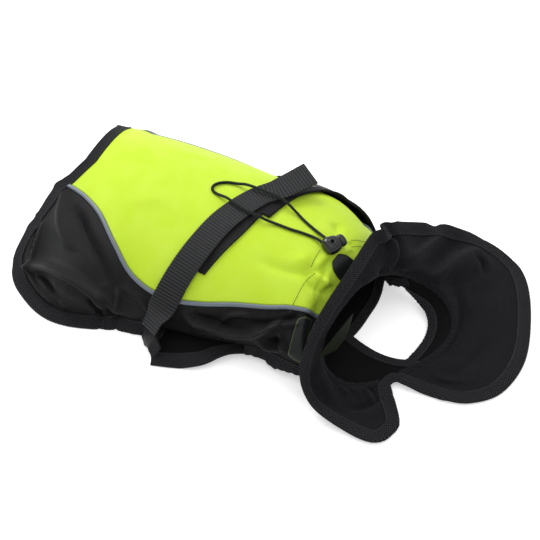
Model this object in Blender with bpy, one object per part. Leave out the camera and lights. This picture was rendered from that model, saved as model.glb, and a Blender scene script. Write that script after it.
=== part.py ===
"""Winter coat for a dog, filled out and hollow, lying on its belly.

Head towards +X, the dog's right side towards -Y, floor at z = 0. The tables are in millimetres.
"""
import bpy
import numpy as np

# Sizes that drive the coat, in millimetres
CLOTH = 1.8  # outer cloth with its lining
GAP = 0.3  # between two pieces that are sewn together
TAPE_WIDTH = 13.0  # twill tape that shows along a bound edge
TAPE = 3.0  # the tape, folded over the edge of the cloth
PIPING_WIDTH = 3.8
PIPING = 2.6
STRAP_WIDTH = 29.0
STRAP = 1.8
CORD = 3.0
NECK_SEAM = 2.8  # from the neck seam to the collar's cloth
CENTRE = (70.3, -14.8)  # the middle of the coat in the plane of the floor
TABLE_UNIT = 0.001
LEG_TAPE_WIDTH = 9.0  # gathered tape round the leg openings
PATCH = 1.2
PATCH_LIFT = 2.4  # middle of a patch above the middle of the back's cloth
PANEL_ROWS = 27
PANEL_COLUMNS = {"back_panel": 13, "side_panel_near": 10, "side_panel_far": 8}
HEM_TAPE_FAR = 2.05  # where the tail's tape ends on each side, in sections
HEM_TAPE_NEAR = 2.36
LEG_TAPE_NEAR = (4.2, 5.7)  # the hems' tape at the leg openings, in sections
LEG_TAPE_NEAR_FLARE = (0, -0.9, -0.2)  # stands out from the hem
LEG_TAPE_FAR = (4.3, 5.95)
TOGGLE_SQUASH = (1.1, 0.86)  # across and up from the cloth

# Sections of the back from the tail to the neck. Each is two cubic curves that start at the crest:
# the near one (-Y) ends at the near hem and the far one (+Y) at the far hem.
# crest, near shoulder, near flank, near hem, far shoulder, far flank, far hem
SECTIONS = {
    "tail": (
        (-155, 0, 79), (-168, -50, 72), (-206, -76, 17), (-188, -119, 4),
        (-157, 62, 82), (-165, 103, 54), (-168, 105, 5),
    ),
    "rump": (
        (-103, 0, 86), (-106, -75, 89), (-124, -136, 40), (-124, -147, 3.5),
        (-103, 64, 88), (-106, 110, 52), (-108, 112, 5),
    ),
    "loin": (
        (-40, 0, 89), (-42, -75, 91), (-50, -126, 50), (-54, -131, 10),
        (-40, 66, 91), (-40, 108, 50), (-40, 108, 15),
    ),
    "girth": (
        (25, 0, 89), (25, -72, 90), (28, -116, 52), (28, -120, 13),
        (25, 64, 91), (25, 102, 50), (25, 100, 20),
    ),
    "shoulder": (
        (90, 0, 88), (90, -66, 88), (95, -111, 46), (97, -110, 17),
        (92, 64, 90), (96, 100, 52), (98, 88, 20),
    ),
    "withers": (
        (135, -2, 82), (126, -62, 82), (132, -116, 42), (141, -114, 19),
        (135, 42, 82), (144, 74, 46), (150, 64, 18),
    ),
    "yoke": (
        (158, -4, 70), (126, -78, 61), (140, -130, 18), (192, -110, 11),
        (158, 30, 68), (170, 50, 40), (178, 38, 18),
    ),
    "neck": (
        (172, -5, 55), (130, -98, 43), (176, -144, 4.5), (224, -86, 6),
        (177, 16, 51), (193, 29, 44), (210, 34, 36),
    ),
}
LAST = len(SECTIONS) - 1
# Places of the two lines of piping at every half section, from the crest (0) to the hem (1)
PIPING_NEAR = (
    0.25, 0.262, 0.315, 0.45, 0.63, 0.725, 0.70, 0.63, 0.575, 0.518, 0.485, 0.462, 0.445, 0.44, 0.44,
)
PIPING_FAR = (
    0.70, 0.70, 0.70, 0.71, 0.73, 0.76, 0.77, 0.78, 0.79, 0.80, 0.80, 0.80, 0.78, 0.74, 0.70,
)
NECK_PULL = 0.6  # how far the near side's cloth is drawn towards the nape at the neck seam
TAIL_CORNER = 0.32  # length of a rounded tail corner, in sections
TAIL_CORNER_START = 0.85  # where it starts, as a part of the way from the crest to the hem

# Folds of the back: from (u, v) to (u, v), height and width in millimetres
BACK_FOLDS = (
    (0.10, -0.33, 0.70, -0.54, 5.0, 11),
    (0.32, -0.36, 0.82, -0.48, -4.0, 8),
    (0.40, -0.86, 1.00, -0.80, 3.5, 12),
    (1.00, -0.80, 1.60, -0.93, 3.5, 12),
    (1.62, -0.75, 1.74, -0.93, 3.0, 6),
    (1.86, -0.76, 1.94, -0.94, 3.0, 6),
    (2.86, -0.80, 3.30, -0.94, 3.5, 8),
    (3.00, -0.95, 3.90, -0.84, 4.0, 9),
    (3.90, -0.84, 4.60, -0.62, 4.0, 9),
    (3.25, -0.80, 3.80, -0.72, -3.5, 8),
    (3.80, -0.76, 4.55, -0.66, 3.0, 7),
    (4.10, -0.24, 4.66, -0.13, 2.5, 10),
    (4.96, -0.12, 5.30, -0.30, -3.5, 8),
    (5.10, -0.24, 5.60, -0.26, 3.0, 6),
    (5.15, 0.10, 5.60, 0.08, 2.5, 7),
)

# The neck seam: two cubic curves from the nape to the throat
NECK_NEAR = ((172, -5, 55), (130, -98, 43), (176, -144, 4.5), (224, -86, 6))
NECK_FAR = ((172, -5, 55), (190, 64, 42), (322, 50, -8), (236, -69, 5))
FAR_SEAM = 0.30  # where the far side's front edge ends on the neck seam

# The collar: place on the neck seam, edge of the cloth, where the cloth heads at the seam and at the edge
COLLAR = (
    (-0.985, (248, -131, 3.0), (5, -16, 0), (4, -14, 0)),
    (-0.86, (240, -146, 3.2), (5, -15, 0), (4, -14, 0)),
    (-0.70, (210, -146, 5.0), (0, -16, -2), (-2, -12, 2)),
    (-0.56, (178, -143, 12.0), (7, -20, 2), (-4, -9, 7)),
    (-0.44, (161, -131, 25.0), (11, -17, 8), (-4, -4, 12)),
    (-0.32, (156, -106, 45.0), (8, -18, 12), (-5, -5, 12)),
    (-0.20, (159, -71, 64.0), (7, -10, 15), (-6, -4, 13)),
    (-0.04, (166, -22, 77.0), (6, -4, 14), (-9, -1, 13)),
    (0.12, (168, 22, 81.0), (6, 6, 15), (-8, 4, 13)),
    (0.24, (172, 49, 70.0), (9, 12, 13), (-6, 8, 13)),
    (0.36, (190, 79, 50.0), (10, 17, 10), (-4, 14, 10)),
    (0.46, (215, 108, 30.0), (10, 22, 9), (0, 18, 6)),
    (0.56, (248, 124, 14.0), (12, 26, 7), (4, 22, 2)),
    (0.65, (280, 121, 3.0), (14, 26, 2), (10, 20, -2)),
    (0.72, (301, 99, 2.5), (20, 22, 0), (18, 14, 0)),
    (0.80, (320, 55, 2.5), (26, 10, 0), (22, 6, 0)),
    (0.88, (332, 4, 2.5), (26, -2, 0), (24, 0, 0)),
    (0.94, (326, -38, 2.5), (24, -6, 0), (20, -8, 0)),
    (0.975, (306, -60, 2.6), (18, -9, 0), (20, -4, 0)),
    (0.998, (284, -67, 2.8), (14, -2, 1), (16, -1, 0)),
)

# Folds of the collar, in its rows and from the seam (0) to the edge (1): height towards the dog's neck
COLLAR_FOLDS = (
    (2.6, 0.45, 4.6, 0.45, -2.0, 26),
    (8.6, 0.25, 9.4, 0.85, 5.0, 9),
    (9.8, 0.15, 12.2, 0.78, 7.0, 10),
    (11.2, 0.10, 13.4, 0.60, -5.0, 12),
    (13.8, 0.62, 15.6, 0.80, 3.5, 14),
    (16.2, 0.20, 17.0, 0.80, 3.0, 9),
)

# The belly band, from where its near tip meets the floor to the far side: rear edge, front edge, bulge
BAND = (
    ((-17, -146, 2.5), (-4, -154.5, 5.0), (0, 0, 0)),
    ((-8, -132, 0.9), (37, -141, 9.0), (0, 0, 0)),
    ((-10, -106, 0.9), (66, -114, 8.0), (0, 0, 0)),
    ((-14, -60, 0.9), (152, -62, 0.9), (0, 0, 0)),
    ((-12, 0, 0.9), (168, 0, 0.9), (0, 0, 0)),
    ((-10, 56, 0.9), (162, 44, 0.9), (0, 0, 0)),
    ((-6, 104, 0.9), (146, 78, 6), (0, 6, 0)),
    ((8, 111, 17), (136, 86, 27), (0, 10, 0)),
    ((30, 107, 38), (122, 88, 48), (0, 8, 0)),
)
# The band's narrow end over the back: its rear and its front edge as place (u, v) and height above the back
STRIP = (
    ((3.24, 0.72, 2.8), (4.02, 0.66, 6.0)),
    ((3.30, 0.57, 2.6), (3.80, 0.55, 4.6)),
    ((3.32, 0.42, 2.4), (3.66, 0.41, 3.8)),
    ((3.20, 0.24, 2.4), (3.50, 0.22, 3.2)),
    ((2.98, 0.04, 2.4), (3.36, 0.01, 2.8)),
    ((2.76, -0.14, 2.4), (3.24, -0.16, 2.4)),
    ((2.60, -0.30, 2.4), (3.09, -0.32, 2.4)),
    ((2.46, -0.46, 2.4), (2.95, -0.49, 2.4)),
)
# The strap's middle line over the back: place on the back and height above it
STRAP_LINE = (
    (2.54, -0.76, 6.6),
    (2.61, -0.56, 5.4),
    (2.70, -0.37, 5.2),
    (2.83, -0.17, 5.2),
    (2.98, -0.03, 5.2),
    (3.15, 0.10, 5.6),
)
# Its near end beside the back and its free far end above it: points and facing
STRAP_NEAR = (((-14, -142, 23), (-0.56, -0.61, 0.56)), ((-11.5, -132, 33), (-0.45, -0.62, 0.64)))
STRAP_FAR = (((52, 36, 97.6), (0.1, 0.05, 1.0)), ((72, 66, 101.5), (0.16, -0.1, 0.98)))
STRAP_ON_BAND = 3.0  # from the middle of the band's cloth to the middle of the strap
BAND_TIP = (0.45, 0.0)  # the band's first rows lie under these places of the strap
BAND_TIP_WIDTH = 25.0

# The chest piece between the leg holes: how far its side edges bow towards its middle
CHEST_NEAR_BOW = (0, -13, 0)
CHEST_FAR_BOW = (6, -12, 0)
CHEST_NEAR_LEAN = 1.0  # 1 puts the widest place towards the neck, 0 in the middle
CHEST_FAR_LEAN = 0.0
BAND_CHEST_NEAR = 4.55  # where the chest piece meets the band's front edge, in rows of the band
BAND_CHEST_FAR = 5.25
# Where the band's tape starts and ends behind, and in front on the near side, in rows of the band
BAND_TAPE_REAR = 2.4
BAND_TAPE_REAR_END = 10.2
BAND_TAPE_NEAR = 1.9
BAND_TAPE_NEAR_END = 4.1
BAND_TAPE_NEAR_FLARE = (0, 0, -0.8)  # hangs down from the lifted edge
NECK_CHEST_NEAR = -0.84  # where it meets the neck seam
NECK_CHEST_FAR = 0.94
THROAT_GAP = (1.1, -0.8, -0.9)  # from the far side's hem to the throat band
# Inner edge of the throat band, from the far leg's hem to the throat
THROAT_EDGE = (
    (178, 38, 18),
    (204, 33, 17),
    (229, 26, 13),
    (243, 12, 6),
    (248, -8, 3),
    (247, -28, 2.4),
    (244, -42, 2.2),
)

# Patches on the back: the ends of the upper and of the lower edge, rounded at the first ends
CHEST_TAB = ((4.96, -0.545), (5.62, -0.50), (4.86, -0.91), (5.52, -0.85))
LEASH_PATCH = ((5.14, -0.025), (6.10, -0.005), (5.14, -0.15), (6.10, -0.175))

# The drawstring's loop in front of the toggle: place on the back and height above it
CORD_LOOP = (
    (4.598, -0.054, 6.4),
    (4.48, -0.040, 4.6),
    (4.30, -0.032, 2.8),
    (4.08, -0.036, 2.8),
    (3.88, -0.042, 2.8),
    (3.66, -0.042, 3.0),
    (3.48, -0.046, 4.6),
    (3.30, -0.05, 8.2),
    (3.12, -0.044, 8.7),
    (2.94, -0.032, 8.5),
    (2.76, -0.014, 8.5),
    (2.62, 0.005, 5.2),
    (2.50, 0.016, 2.9),
    (2.40, 0.03, 2.8),
    (2.36, 0.06, 2.8),
    (2.40, 0.095, 2.8),
    (2.52, 0.13, 2.8),
    (2.68, 0.145, 3.6),
    (2.84, 0.138, 7.6),
    (3.02, 0.125, 10.2),
    (3.22, 0.115, 11.2),
    (3.42, 0.105, 11.8),
    (3.60, 0.095, 9.4),
    (3.78, 0.078, 5.0),
    (3.98, 0.052, 2.8),
    (4.18, 0.030, 2.8),
    (4.38, 0.012, 3.2),
    (4.52, -0.006, 5.2),
    (4.665, -0.022, 7.2),
)
# The toggle: place and height of its middle, and the place and height that its button points to
TOGGLE = ((4.86, -0.05, 9.1), (5.08, 0.07, 10.1))
# Outlines of the toggle: place along its axis, radius
TOGGLE_BODY = ((-9.5, 5.0), (-8.0, 7.4), (-3.5, 8.8), (2.5, 8.6), (7.0, 7.4), (8.5, 5.4))
TOGGLE_BUTTON = ((8.8, 4.6), (10.0, 6.0), (14.0, 6.2), (16.0, 4.6))


def spline(rows, place):
    """A smooth curve through rows: place 0 is the first row and each 1 more is the next one."""
    rows = np.asarray(rows, float)
    place = np.clip(np.asarray(place, float).ravel(), 0, len(rows) - 1)
    first = np.minimum(place.astype(int), len(rows) - 2)
    part = (place - first)[:, None]
    padded = np.vstack([2 * rows[0] - rows[1], rows, 2 * rows[-1] - rows[-2]])
    a, b, c, d = (padded[first + step] for step in range(4))
    return b + 0.5 * part * (c - a + part * (2 * a - 5 * b + 4 * c - d + part * (3 * b - a - 3 * c + d)))


def cubic(points, t):
    p0, p1, p2, p3 = points
    return (1 - t) ** 3 * p0 + 3 * (1 - t) ** 2 * t * p1 + 3 * (1 - t) * t * t * p2 + t**3 * p3


def unit(vectors):
    return vectors / np.maximum(np.linalg.norm(vectors, axis=-1, keepdims=True), 1e-9)


def smooth_back(u, v):
    """The back without folds: u from the tail to the neck, v from the near hem (-1) to the far hem (1)."""
    u, v = np.broadcast_arrays(np.asarray(u, float), np.asarray(v, float))
    table = np.array(list(SECTIONS.values()), float).reshape(len(SECTIONS), -1)
    at = spline(table, u).reshape(-1, 7, 3)
    ahead = np.clip((u - 4.6) / (LAST - 4.6), 0, 1)
    pull = NECK_PULL * ahead**2 * (3 - 2 * ahead)
    v = np.where(v < 0, v * (1 - pull * (1 + v)), v)
    near = (v.ravel() < 0)[:, None]
    side = [at[:, 0]] + [np.where(near, at[:, k], at[:, k + 3]) for k in (1, 2, 3)]
    return cubic(side, np.abs(v).reshape(-1, 1)).reshape(u.shape + (3,))


def normal(surface, u, v, step=0.004):
    across = surface(u + step, v) - surface(u - step, v)
    along = surface(u, v + step) - surface(u, v - step)
    return unit(np.cross(across, along))


def fold_height(u, v, folds, section_length, side_length):
    """Sum of rounded ridges, each along a straight line from (u, v) to (u, v)."""
    height = np.zeros(np.broadcast(u, v).shape)
    for u0, v0, u1, v1, rise, width in folds:
        du = (u1 - u0) * section_length
        dv = (v1 - v0) * side_length
        px = (u - u0) * section_length
        py = (v - v0) * side_length
        place = np.clip((px * du + py * dv) / (du * du + dv * dv), 0, 1)
        away = (px - place * du) ** 2 + (py - place * dv) ** 2
        height = height + rise * np.exp(-away / width**2) * (0.45 + 0.55 * np.sin(np.pi * place))
    return height


def back(u, v):
    u, v = np.broadcast_arrays(np.asarray(u, float), np.asarray(v, float))
    rise = fold_height(u, v, BACK_FOLDS, 58.0, 150.0)
    return smooth_back(u, v) + rise[..., None] * normal(smooth_back, u, v)


def above_back(u, v, height):
    """Points at a height above the middle of the back's cloth."""
    u = np.asarray(u, float)
    v = np.asarray(v, float)
    return back(u, v) + np.asarray(height)[..., None] * normal(smooth_back, u, v)


def neck(t):
    """The neck seam: t is -1 at the near end of the throat, 0 at the nape and 1 at the far end."""
    t = np.asarray(t, float)[..., None]
    near = cubic(np.array(NECK_NEAR, float), np.abs(t))
    far = cubic(np.array(NECK_FAR, float), np.abs(t))
    return np.where(t < 0, near, far)


def smooth_collar(w, s):
    """The collar without folds: w along its rows, s from the neck seam (0) to the edge of the cloth (1)."""
    w, s = np.broadcast_arrays(np.asarray(w, float), np.asarray(s, float))
    table = np.array([(row[0],) + row[1] + row[2] + row[3] for row in COLLAR], float)
    at = spline(table, w)
    seam = neck(at[:, 0])
    edge = at[:, 1:4]
    heading = at[:, 4:7]
    seam = seam + NECK_SEAM * unit(heading)
    points = cubic((seam, seam + heading, edge - at[:, 7:10], edge), s.reshape(-1, 1))
    return points.reshape(w.shape + (3,))


def collar(w, s):
    w, s = np.broadcast_arrays(np.asarray(w, float), np.asarray(s, float))
    rise = fold_height(w, s, COLLAR_FOLDS, 18.0, 75.0) * np.clip(s / 0.12, 0, 1)
    points = smooth_collar(w, s) + rise[..., None] * normal(smooth_collar, w, s)
    points[..., 2] = np.maximum(points[..., 2], CLOTH / 2 + 0.7)
    return points


def strap_line(place):
    """Middle, sideways direction and facing of the strap: place 0 is its near end."""
    lines = np.array(STRAP_LINE)
    over = above_back(lines[:, 0], lines[:, 1], lines[:, 2])
    near, far = np.array(STRAP_NEAR, float), np.array(STRAP_FAR, float)
    rows = np.vstack([near[:, 0], over, far[:, 0]])
    facing = np.vstack([near[:, 1], normal(smooth_back, lines[:, 0], lines[:, 1]), far[:, 1]])
    step = 0.02
    along = unit(spline(rows, place + step) - spline(rows, place - step))
    side = unit(np.cross(unit(spline(facing, place)), along))
    return spline(rows, place), side, unit(np.cross(along, side))


STRAP_PLACES = len(STRAP_NEAR) + len(STRAP_LINE) + len(STRAP_FAR) - 1


def band_table():
    """Rear edge, front edge and bulge of every row of the belly band, from its tip under the strap."""
    middle, side, up = strap_line(np.array(BAND_TIP))
    side = side * np.sign(side[:, :1])
    middle = middle - STRAP_ON_BAND * up
    tip = np.hstack([middle - BAND_TIP_WIDTH / 2 * side, middle + BAND_TIP_WIDTH / 2 * side, 0 * side])
    rows = [tip] + [np.array(row, float).reshape(1, 9) for row in BAND]
    for edges in STRIP:
        u, v, height = np.array(edges).T
        rows.append(np.append(above_back(u, v, height).ravel(), (0, 0, 0))[None])
    return np.vstack(rows)


BAND_TABLE = band_table()
BAND_ROWS = len(BAND_TABLE) - 1


def band(r, s):
    """The belly band: r along its rows, s from the rear edge (0) to the front edge (1)."""
    r, s = np.broadcast_arrays(np.asarray(r, float), np.asarray(s, float))
    at = spline(BAND_TABLE, r)
    s = s.reshape(-1, 1)
    points = (1 - s) * at[:, 0:3] + s * at[:, 3:6] + 4 * s * (1 - s) * at[:, 6:9]
    points[:, 2] = np.maximum(points[:, 2], CLOTH / 2)
    return points.reshape(r.shape + (3,))


def patch(start, end, first, last):
    """A sheet between four edges: start(s) to end(s) are its long edges, first(w) to last(w) the others."""

    def surface(w, s):
        w, s = np.broadcast_arrays(np.asarray(w, float), np.asarray(s, float))
        a = w[..., None]
        b = s[..., None]
        corners = (1 - a) * ((1 - b) * first(0.0 * w) + b * last(0.0 * w))
        corners = corners + a * ((1 - b) * first(0.0 * w + 1) + b * last(0.0 * w + 1))
        return (1 - a) * start(s) + a * end(s) + (1 - b) * first(w) + b * last(w) - corners

    return surface


def chest_neck(w):
    t_near = NECK_CHEST_NEAR + (-1 - NECK_CHEST_NEAR) * np.clip(2 * w, 0, 1)
    t_far = 1 + (NECK_CHEST_FAR - 1) * np.clip(2 * w - 1, 0, 1)
    point = np.where((w < 0.5)[..., None], neck(t_near), neck(t_far))
    point[..., 2] = 1.0 + 1.4 * w
    return point


def chest_band(w):
    r = BAND_CHEST_NEAR + (BAND_CHEST_FAR - BAND_CHEST_NEAR) * w
    point = band(r, 1.0 + 0.0 * w)
    point[..., 0] += GAP + 0.6
    return point


def chest_side(w, bow, lean):
    def side(s):
        s = np.asarray(s, float)
        ends = (chest_neck(w + 0.0 * s), chest_band(w + 0.0 * s))
        b = s[..., None]
        swell = 4 * b * (1 - b) * (1 + lean * (0.6875 - 1.6875 * b))
        return (1 - b) * ends[0] + b * ends[1] + swell * np.array(bow, float)

    return side


near_side = chest_side(0.0, CHEST_NEAR_BOW, CHEST_NEAR_LEAN)
far_side = chest_side(1.0, CHEST_FAR_BOW, CHEST_FAR_LEAN)
chest = patch(near_side, far_side, chest_neck, chest_band)


def throat_seam(w):
    return neck(FAR_SEAM + (NECK_CHEST_FAR - 0.012 - FAR_SEAM) * w)


def throat_edge(w):
    w = np.asarray(w, float)
    return spline(THROAT_EDGE, w * (len(THROAT_EDGE) - 1)).reshape(w.shape + (3,))


def throat_start(s):
    s = np.asarray(s, float)
    return smooth_back(LAST - s, 1.0 + 0.0 * s) + THROAT_GAP


def throat_end(s):
    b = np.asarray(s, float)[..., None]
    one = 0.0 * np.asarray(s, float) + 1
    return (1 - b) * throat_seam(one) + b * throat_edge(one)


throat = patch(throat_start, throat_end, throat_seam, throat_edge)


def finish(name, verts, faces, look):
    """A closed solid in metres, its faces pointing out."""
    verts = (np.asarray(verts) - np.array([CENTRE[0], CENTRE[1], 0.0])) * TABLE_UNIT
    faces = np.asarray(faces)
    a, b, c = (verts[faces[:, k]] for k in range(3))
    if np.einsum("ij,ij->i", a, np.cross(b, c)).sum() < 0:
        faces = faces[:, ::-1]
    mesh = bpy.data.meshes.new(name)
    mesh.from_pydata(verts.tolist(), [], faces.tolist())
    mesh.validate()
    mesh.update()
    piece = bpy.data.objects.new(name, mesh)
    bpy.context.collection.objects.link(piece)
    colour(piece, look)
    return piece


def colour(piece, look):
    red, green, blue, roughness = look
    material = bpy.data.materials.new(piece.name + "_cloth")
    material.use_nodes = True
    shader = material.node_tree.nodes["Principled BSDF"]
    shader.inputs["Base Color"].default_value = (red, green, blue, 1.0)
    shader.inputs["Roughness"].default_value = roughness
    piece.data.materials.append(material)


def grid_faces(rows, columns, start=0):
    i, j = np.meshgrid(np.arange(rows - 1), np.arange(columns - 1), indexing="ij")
    a = (start + i * columns + j).ravel()
    b = a + columns
    return np.vstack([np.column_stack([a, b, b + 1]), np.column_stack([a, b + 1, a + 1])])


def sheet(name, surface, first, second, thickness, look, lift=0.0):
    """A sheet of cloth: the surface at a grid of places, as thick as asked on both sides of it."""
    points = surface(first, second)
    away = normal(surface, first, second)
    rows, columns = points.shape[:2]
    top = (points + away * (lift + thickness / 2)).reshape(-1, 3)
    bottom = (points + away * (lift - thickness / 2)).reshape(-1, 3)
    count = rows * columns
    faces = [grid_faces(rows, columns), grid_faces(rows, columns, count)[:, ::-1]]
    index = np.arange(count).reshape(rows, columns)
    rim = np.concatenate([index[:-1, 0], index[-1, :-1], index[:0:-1, -1], index[0, :0:-1]])
    following = np.roll(rim, -1)
    faces.append(np.column_stack([following, rim, rim + count]))
    faces.append(np.column_stack([following, rim + count, following + count]))
    return finish(name, np.vstack([top, bottom]), np.vstack(faces), look)


def swept(name, rings, look):
    """A solid through closed outlines, one after another, with flat ends."""
    count, around = rings.shape[:2]
    i, j = np.meshgrid(np.arange(count - 1), np.arange(around), indexing="ij")
    a = (i * around + j).ravel()
    b = (i * around + (j + 1) % around).ravel()
    faces = [np.column_stack([a, b, b + around]), np.column_stack([a, b + around, a + around])]
    fan = np.arange(1, around - 1)
    end = (count - 1) * around
    faces.append(np.column_stack([np.zeros_like(fan), fan + 1, fan]))
    faces.append(np.column_stack([end + 0 * fan, end + fan, end + fan + 1]))
    return finish(name, rings.reshape(-1, 3), np.vstack(faces), look)


def ribbon(name, inner, outer, away, thickness, look):
    """A flat strip between two lines, rounded along the outer one."""
    half = away * (thickness / 2)
    near_outer = inner + 0.9 * (outer - inner)
    rings = np.stack([inner + half, near_outer + half, outer, near_outer - half, inner - half], axis=1)
    return swept(name, rings, look)


def edging(name, edge, outside, away, facing, floor, width, flare=(0, 0, 0)):
    """Twill tape along an edge of cloth, out from it and never below the height of the floor under it.

    outside points roughly away from the cloth, away is the tape's side and facing the cloth's side;
    flare turns the tape's way out.
    """
    along = unit(np.gradient(edge, axis=0))
    out = unit(np.cross(along, away))
    out = out * np.sign(np.einsum("ij,ij->i", out, outside))[:, None]
    out = unit(out + np.array(flare))
    flat = unit(np.cross(along, np.array([0.0, 0.0, 1.0])))
    flat = flat * np.sign(np.einsum("ij,ij->i", flat, out) + 1e-6)[:, None]
    lowest = (floor + TAPE / 2 - edge[:, 2]) / (width + GAP)
    rise = np.maximum(out[:, 2], np.clip(lowest, -1, 1))
    level = out * np.array([1.0, 1.0, 0.0])
    share = np.linalg.norm(level, axis=1, keepdims=True)
    level = unit(level + 0.6 * (1 - share) * flat)
    aim = level * np.sqrt(np.maximum(1 - rise**2, 0))[:, None]
    aim = unit(aim + rise[:, None] * np.array([0.0, 0.0, 1.0]))
    turned = np.abs(np.einsum("ij,ij->i", aim, facing))[:, None]
    start = GAP + 0.5 * turned * (CLOTH + TAPE * (1 - turned if np.any(flare) else 1))
    inner = edge + aim * start
    outer = inner + aim * (width - GAP)
    across = unit(np.cross(along, aim))
    across = across * np.sign(np.einsum("ij,ij->i", across, away) + 1e-6)[:, None]
    for line in (inner, outer):
        line[:, 2] = np.maximum(line[:, 2], floor + TAPE / 2 * np.abs(across[:, 2]) + 0.01)
    ribbon(name, inner, outer, across, TAPE, TWILL)


NEON = (0.62, 0.92, 0.05, 0.55)
SOFTSHELL = (0.018, 0.018, 0.022, 0.5)
TWILL = (0.014, 0.014, 0.016, 0.85)
GREY = (0.28, 0.31, 0.35, 0.35)
WEBBING = (0.022, 0.022, 0.024, 0.8)
GLOSS = (0.02, 0.02, 0.022, 0.25)


def rounded_start(v):
    """Where the back's cloth starts behind, for the tail's rounded corners."""
    past = np.clip((np.abs(v) - TAIL_CORNER_START) / (1 - TAIL_CORNER_START), 0, 1)
    return TAIL_CORNER * (1 - np.sqrt(1 - past**2))


def piping_place(u, side):
    line = PIPING_NEAR if side < 0 else PIPING_FAR
    return side * spline(np.array(line)[:, None], 2 * np.asarray(u, float)).reshape(np.shape(u))


def beside_piping(u, side, offset):
    """The place v beside the piping on a side of the back, at a distance in millimetres."""
    v = piping_place(u, side)
    step = 0.004
    ahead, behind = u + step, u - step
    along = smooth_back(ahead, piping_place(ahead, side)) - smooth_back(behind, piping_place(behind, side))
    across = smooth_back(u, v + step) - smooth_back(u, v - step)
    square = unit(np.cross(unit(along), normal(smooth_back, u, v)))
    return v + offset * 2 * step / np.abs(np.einsum("...j,...j->...", across, square))


def panel_grid(name):
    """The places (u, v) of a panel: rows from the tail to the neck, columns from the crest's side out."""
    edge = PIPING_WIDTH / 2 + GAP
    share = np.linspace(0, 1, PANEL_ROWS)[:, None]
    across = np.linspace(0, 1, PANEL_COLUMNS[name])[None, :]
    u = LAST * share + 0.0 * across
    if name == "back_panel":
        near = beside_piping(u, -1, edge)
        far = beside_piping(u, 1, -edge)
        return u, near + (far - near) * across
    side = -1 if name == "side_panel_near" else 1
    for _ in range(4):
        v = beside_piping(u, side, side * edge)
        v = v + (side - v) * across
        u = rounded_start(v) + (LAST - rounded_start(v)) * share
    return u, v


def panels():
    for name, look in (("back_panel", NEON), ("side_panel_near", SOFTSHELL), ("side_panel_far", SOFTSHELL)):
        u, v = panel_grid(name)
        sheet(name, back, u, v, CLOTH, look)
    for name, side in (("piping_near", -1), ("piping_far", 1)):
        u = np.linspace(0, LAST, PANEL_ROWS)
        first = beside_piping(u, side, -PIPING_WIDTH / 2)
        last = beside_piping(u, side, PIPING_WIDTH / 2)
        middle = piping_place(u, side)
        low = 0 * u - CLOTH / 2
        rings = [above_back(u, first, -low)]
        rings.append(above_back(u, middle, -low + PIPING - CLOTH))
        rings += [above_back(u, last, -low), above_back(u, last, low), above_back(u, first, low)]
        swept(name, np.stack(rings, axis=1), GREY)


def hem_tapes():
    """Tape round the tail, and along the hems of the leg openings."""
    near_u, near_v = panel_grid("side_panel_near")
    far_u, far_v = panel_grid("side_panel_far")
    top_u, top_v = panel_grid("back_panel")
    far_rows = far_u[:, -1] < HEM_TAPE_FAR
    near_rows = near_u[:, -1] < HEM_TAPE_NEAR
    far_end, near_end = far_u[far_rows, -1][::-1], near_u[near_rows, -1]
    near_end = np.append(near_end, HEM_TAPE_NEAR)
    u = np.concatenate([far_end, far_u[0, -2::-1], top_u[0, ::-1], near_u[0, :-1], near_end])
    v = np.concatenate([far_v[0, -2::-1], top_v[0, ::-1], near_v[0, :-1], 0 * near_end - 1])
    v = np.concatenate([0 * far_end + 1, v])
    edge_tape("hem_tape", u, v, 0.0, TAPE_WIDTH)
    u = near_u[(near_u[:, -1] > LEG_TAPE_NEAR[0]) & (near_u[:, -1] < LEG_TAPE_NEAR[1]), -1]
    edge_tape("leg_tape_near", u, 0 * u - 1, 0.3, LEG_TAPE_WIDTH, LEG_TAPE_NEAR_FLARE)
    u = far_u[(far_u[:, -1] > LEG_TAPE_FAR[0]) & (far_u[:, -1] < LEG_TAPE_FAR[1]), -1][::-1]
    edge_tape("leg_tape_far", u, 0 * u + 1, TAPE + GAP, LEG_TAPE_WIDTH)


def edge_tape(name, u, v, floor, width, flare=(0, 0, 0)):
    """Tape along the back's own edge, which runs from the far side round the tail to the near side."""
    edge = back(u, v)
    away = normal(smooth_back, u, v)
    out = unit(np.cross(np.gradient(edge, axis=0), away))
    edging(name, edge, out, away, normal(back, u, v), floor, width, flare)


def belly_band():
    r = np.concatenate([np.linspace(0, 3, 10), np.linspace(3.5, 7, 8), np.linspace(7.5, BAND_ROWS, 21)])
    grid = np.meshgrid(r, np.linspace(0, 1, 7), indexing="ij")
    sheet("belly_band", band, grid[0], grid[1], CLOTH, SOFTSHELL)
    rear = r[(r > BAND_TAPE_REAR) & (r < BAND_TAPE_REAR_END)]
    near = r[(r > BAND_TAPE_NEAR) & (r < BAND_TAPE_NEAR_END)]
    far = r[(r > BAND_CHEST_FAR + 0.1) & (r < BAND_ROWS - 2.9)]
    tapes = (("band_tape_rear", 0.0, rear), ("band_tape_near", 1.0, near), ("band_tape_far", 1.0, far))
    for name, side, rows in tapes:
        edge = band(rows, side + 0 * rows)
        away = normal(band, rows, side + 0 * rows)
        out = edge - band(rows, abs(side - 0.06) + 0 * rows)
        width = LEG_TAPE_WIDTH if name == "band_tape_far" else TAPE_WIDTH
        flare = BAND_TAPE_NEAR_FLARE if name == "band_tape_near" else (0, 0, 0)
        edging(name, edge, out, away, away, 0.0, width, flare)


def strap():
    """Webbing, stitched to the outside of the band's near tip."""
    middle, side, up = strap_line(np.linspace(0, STRAP_PLACES, 41))
    up = up * STRAP / 2
    half = side * STRAP_WIDTH / 2
    rings = [middle - half + up, middle + half + up, middle + half - up, middle - half - up]
    swept("strap", np.stack(rings, axis=1), WEBBING)


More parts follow.
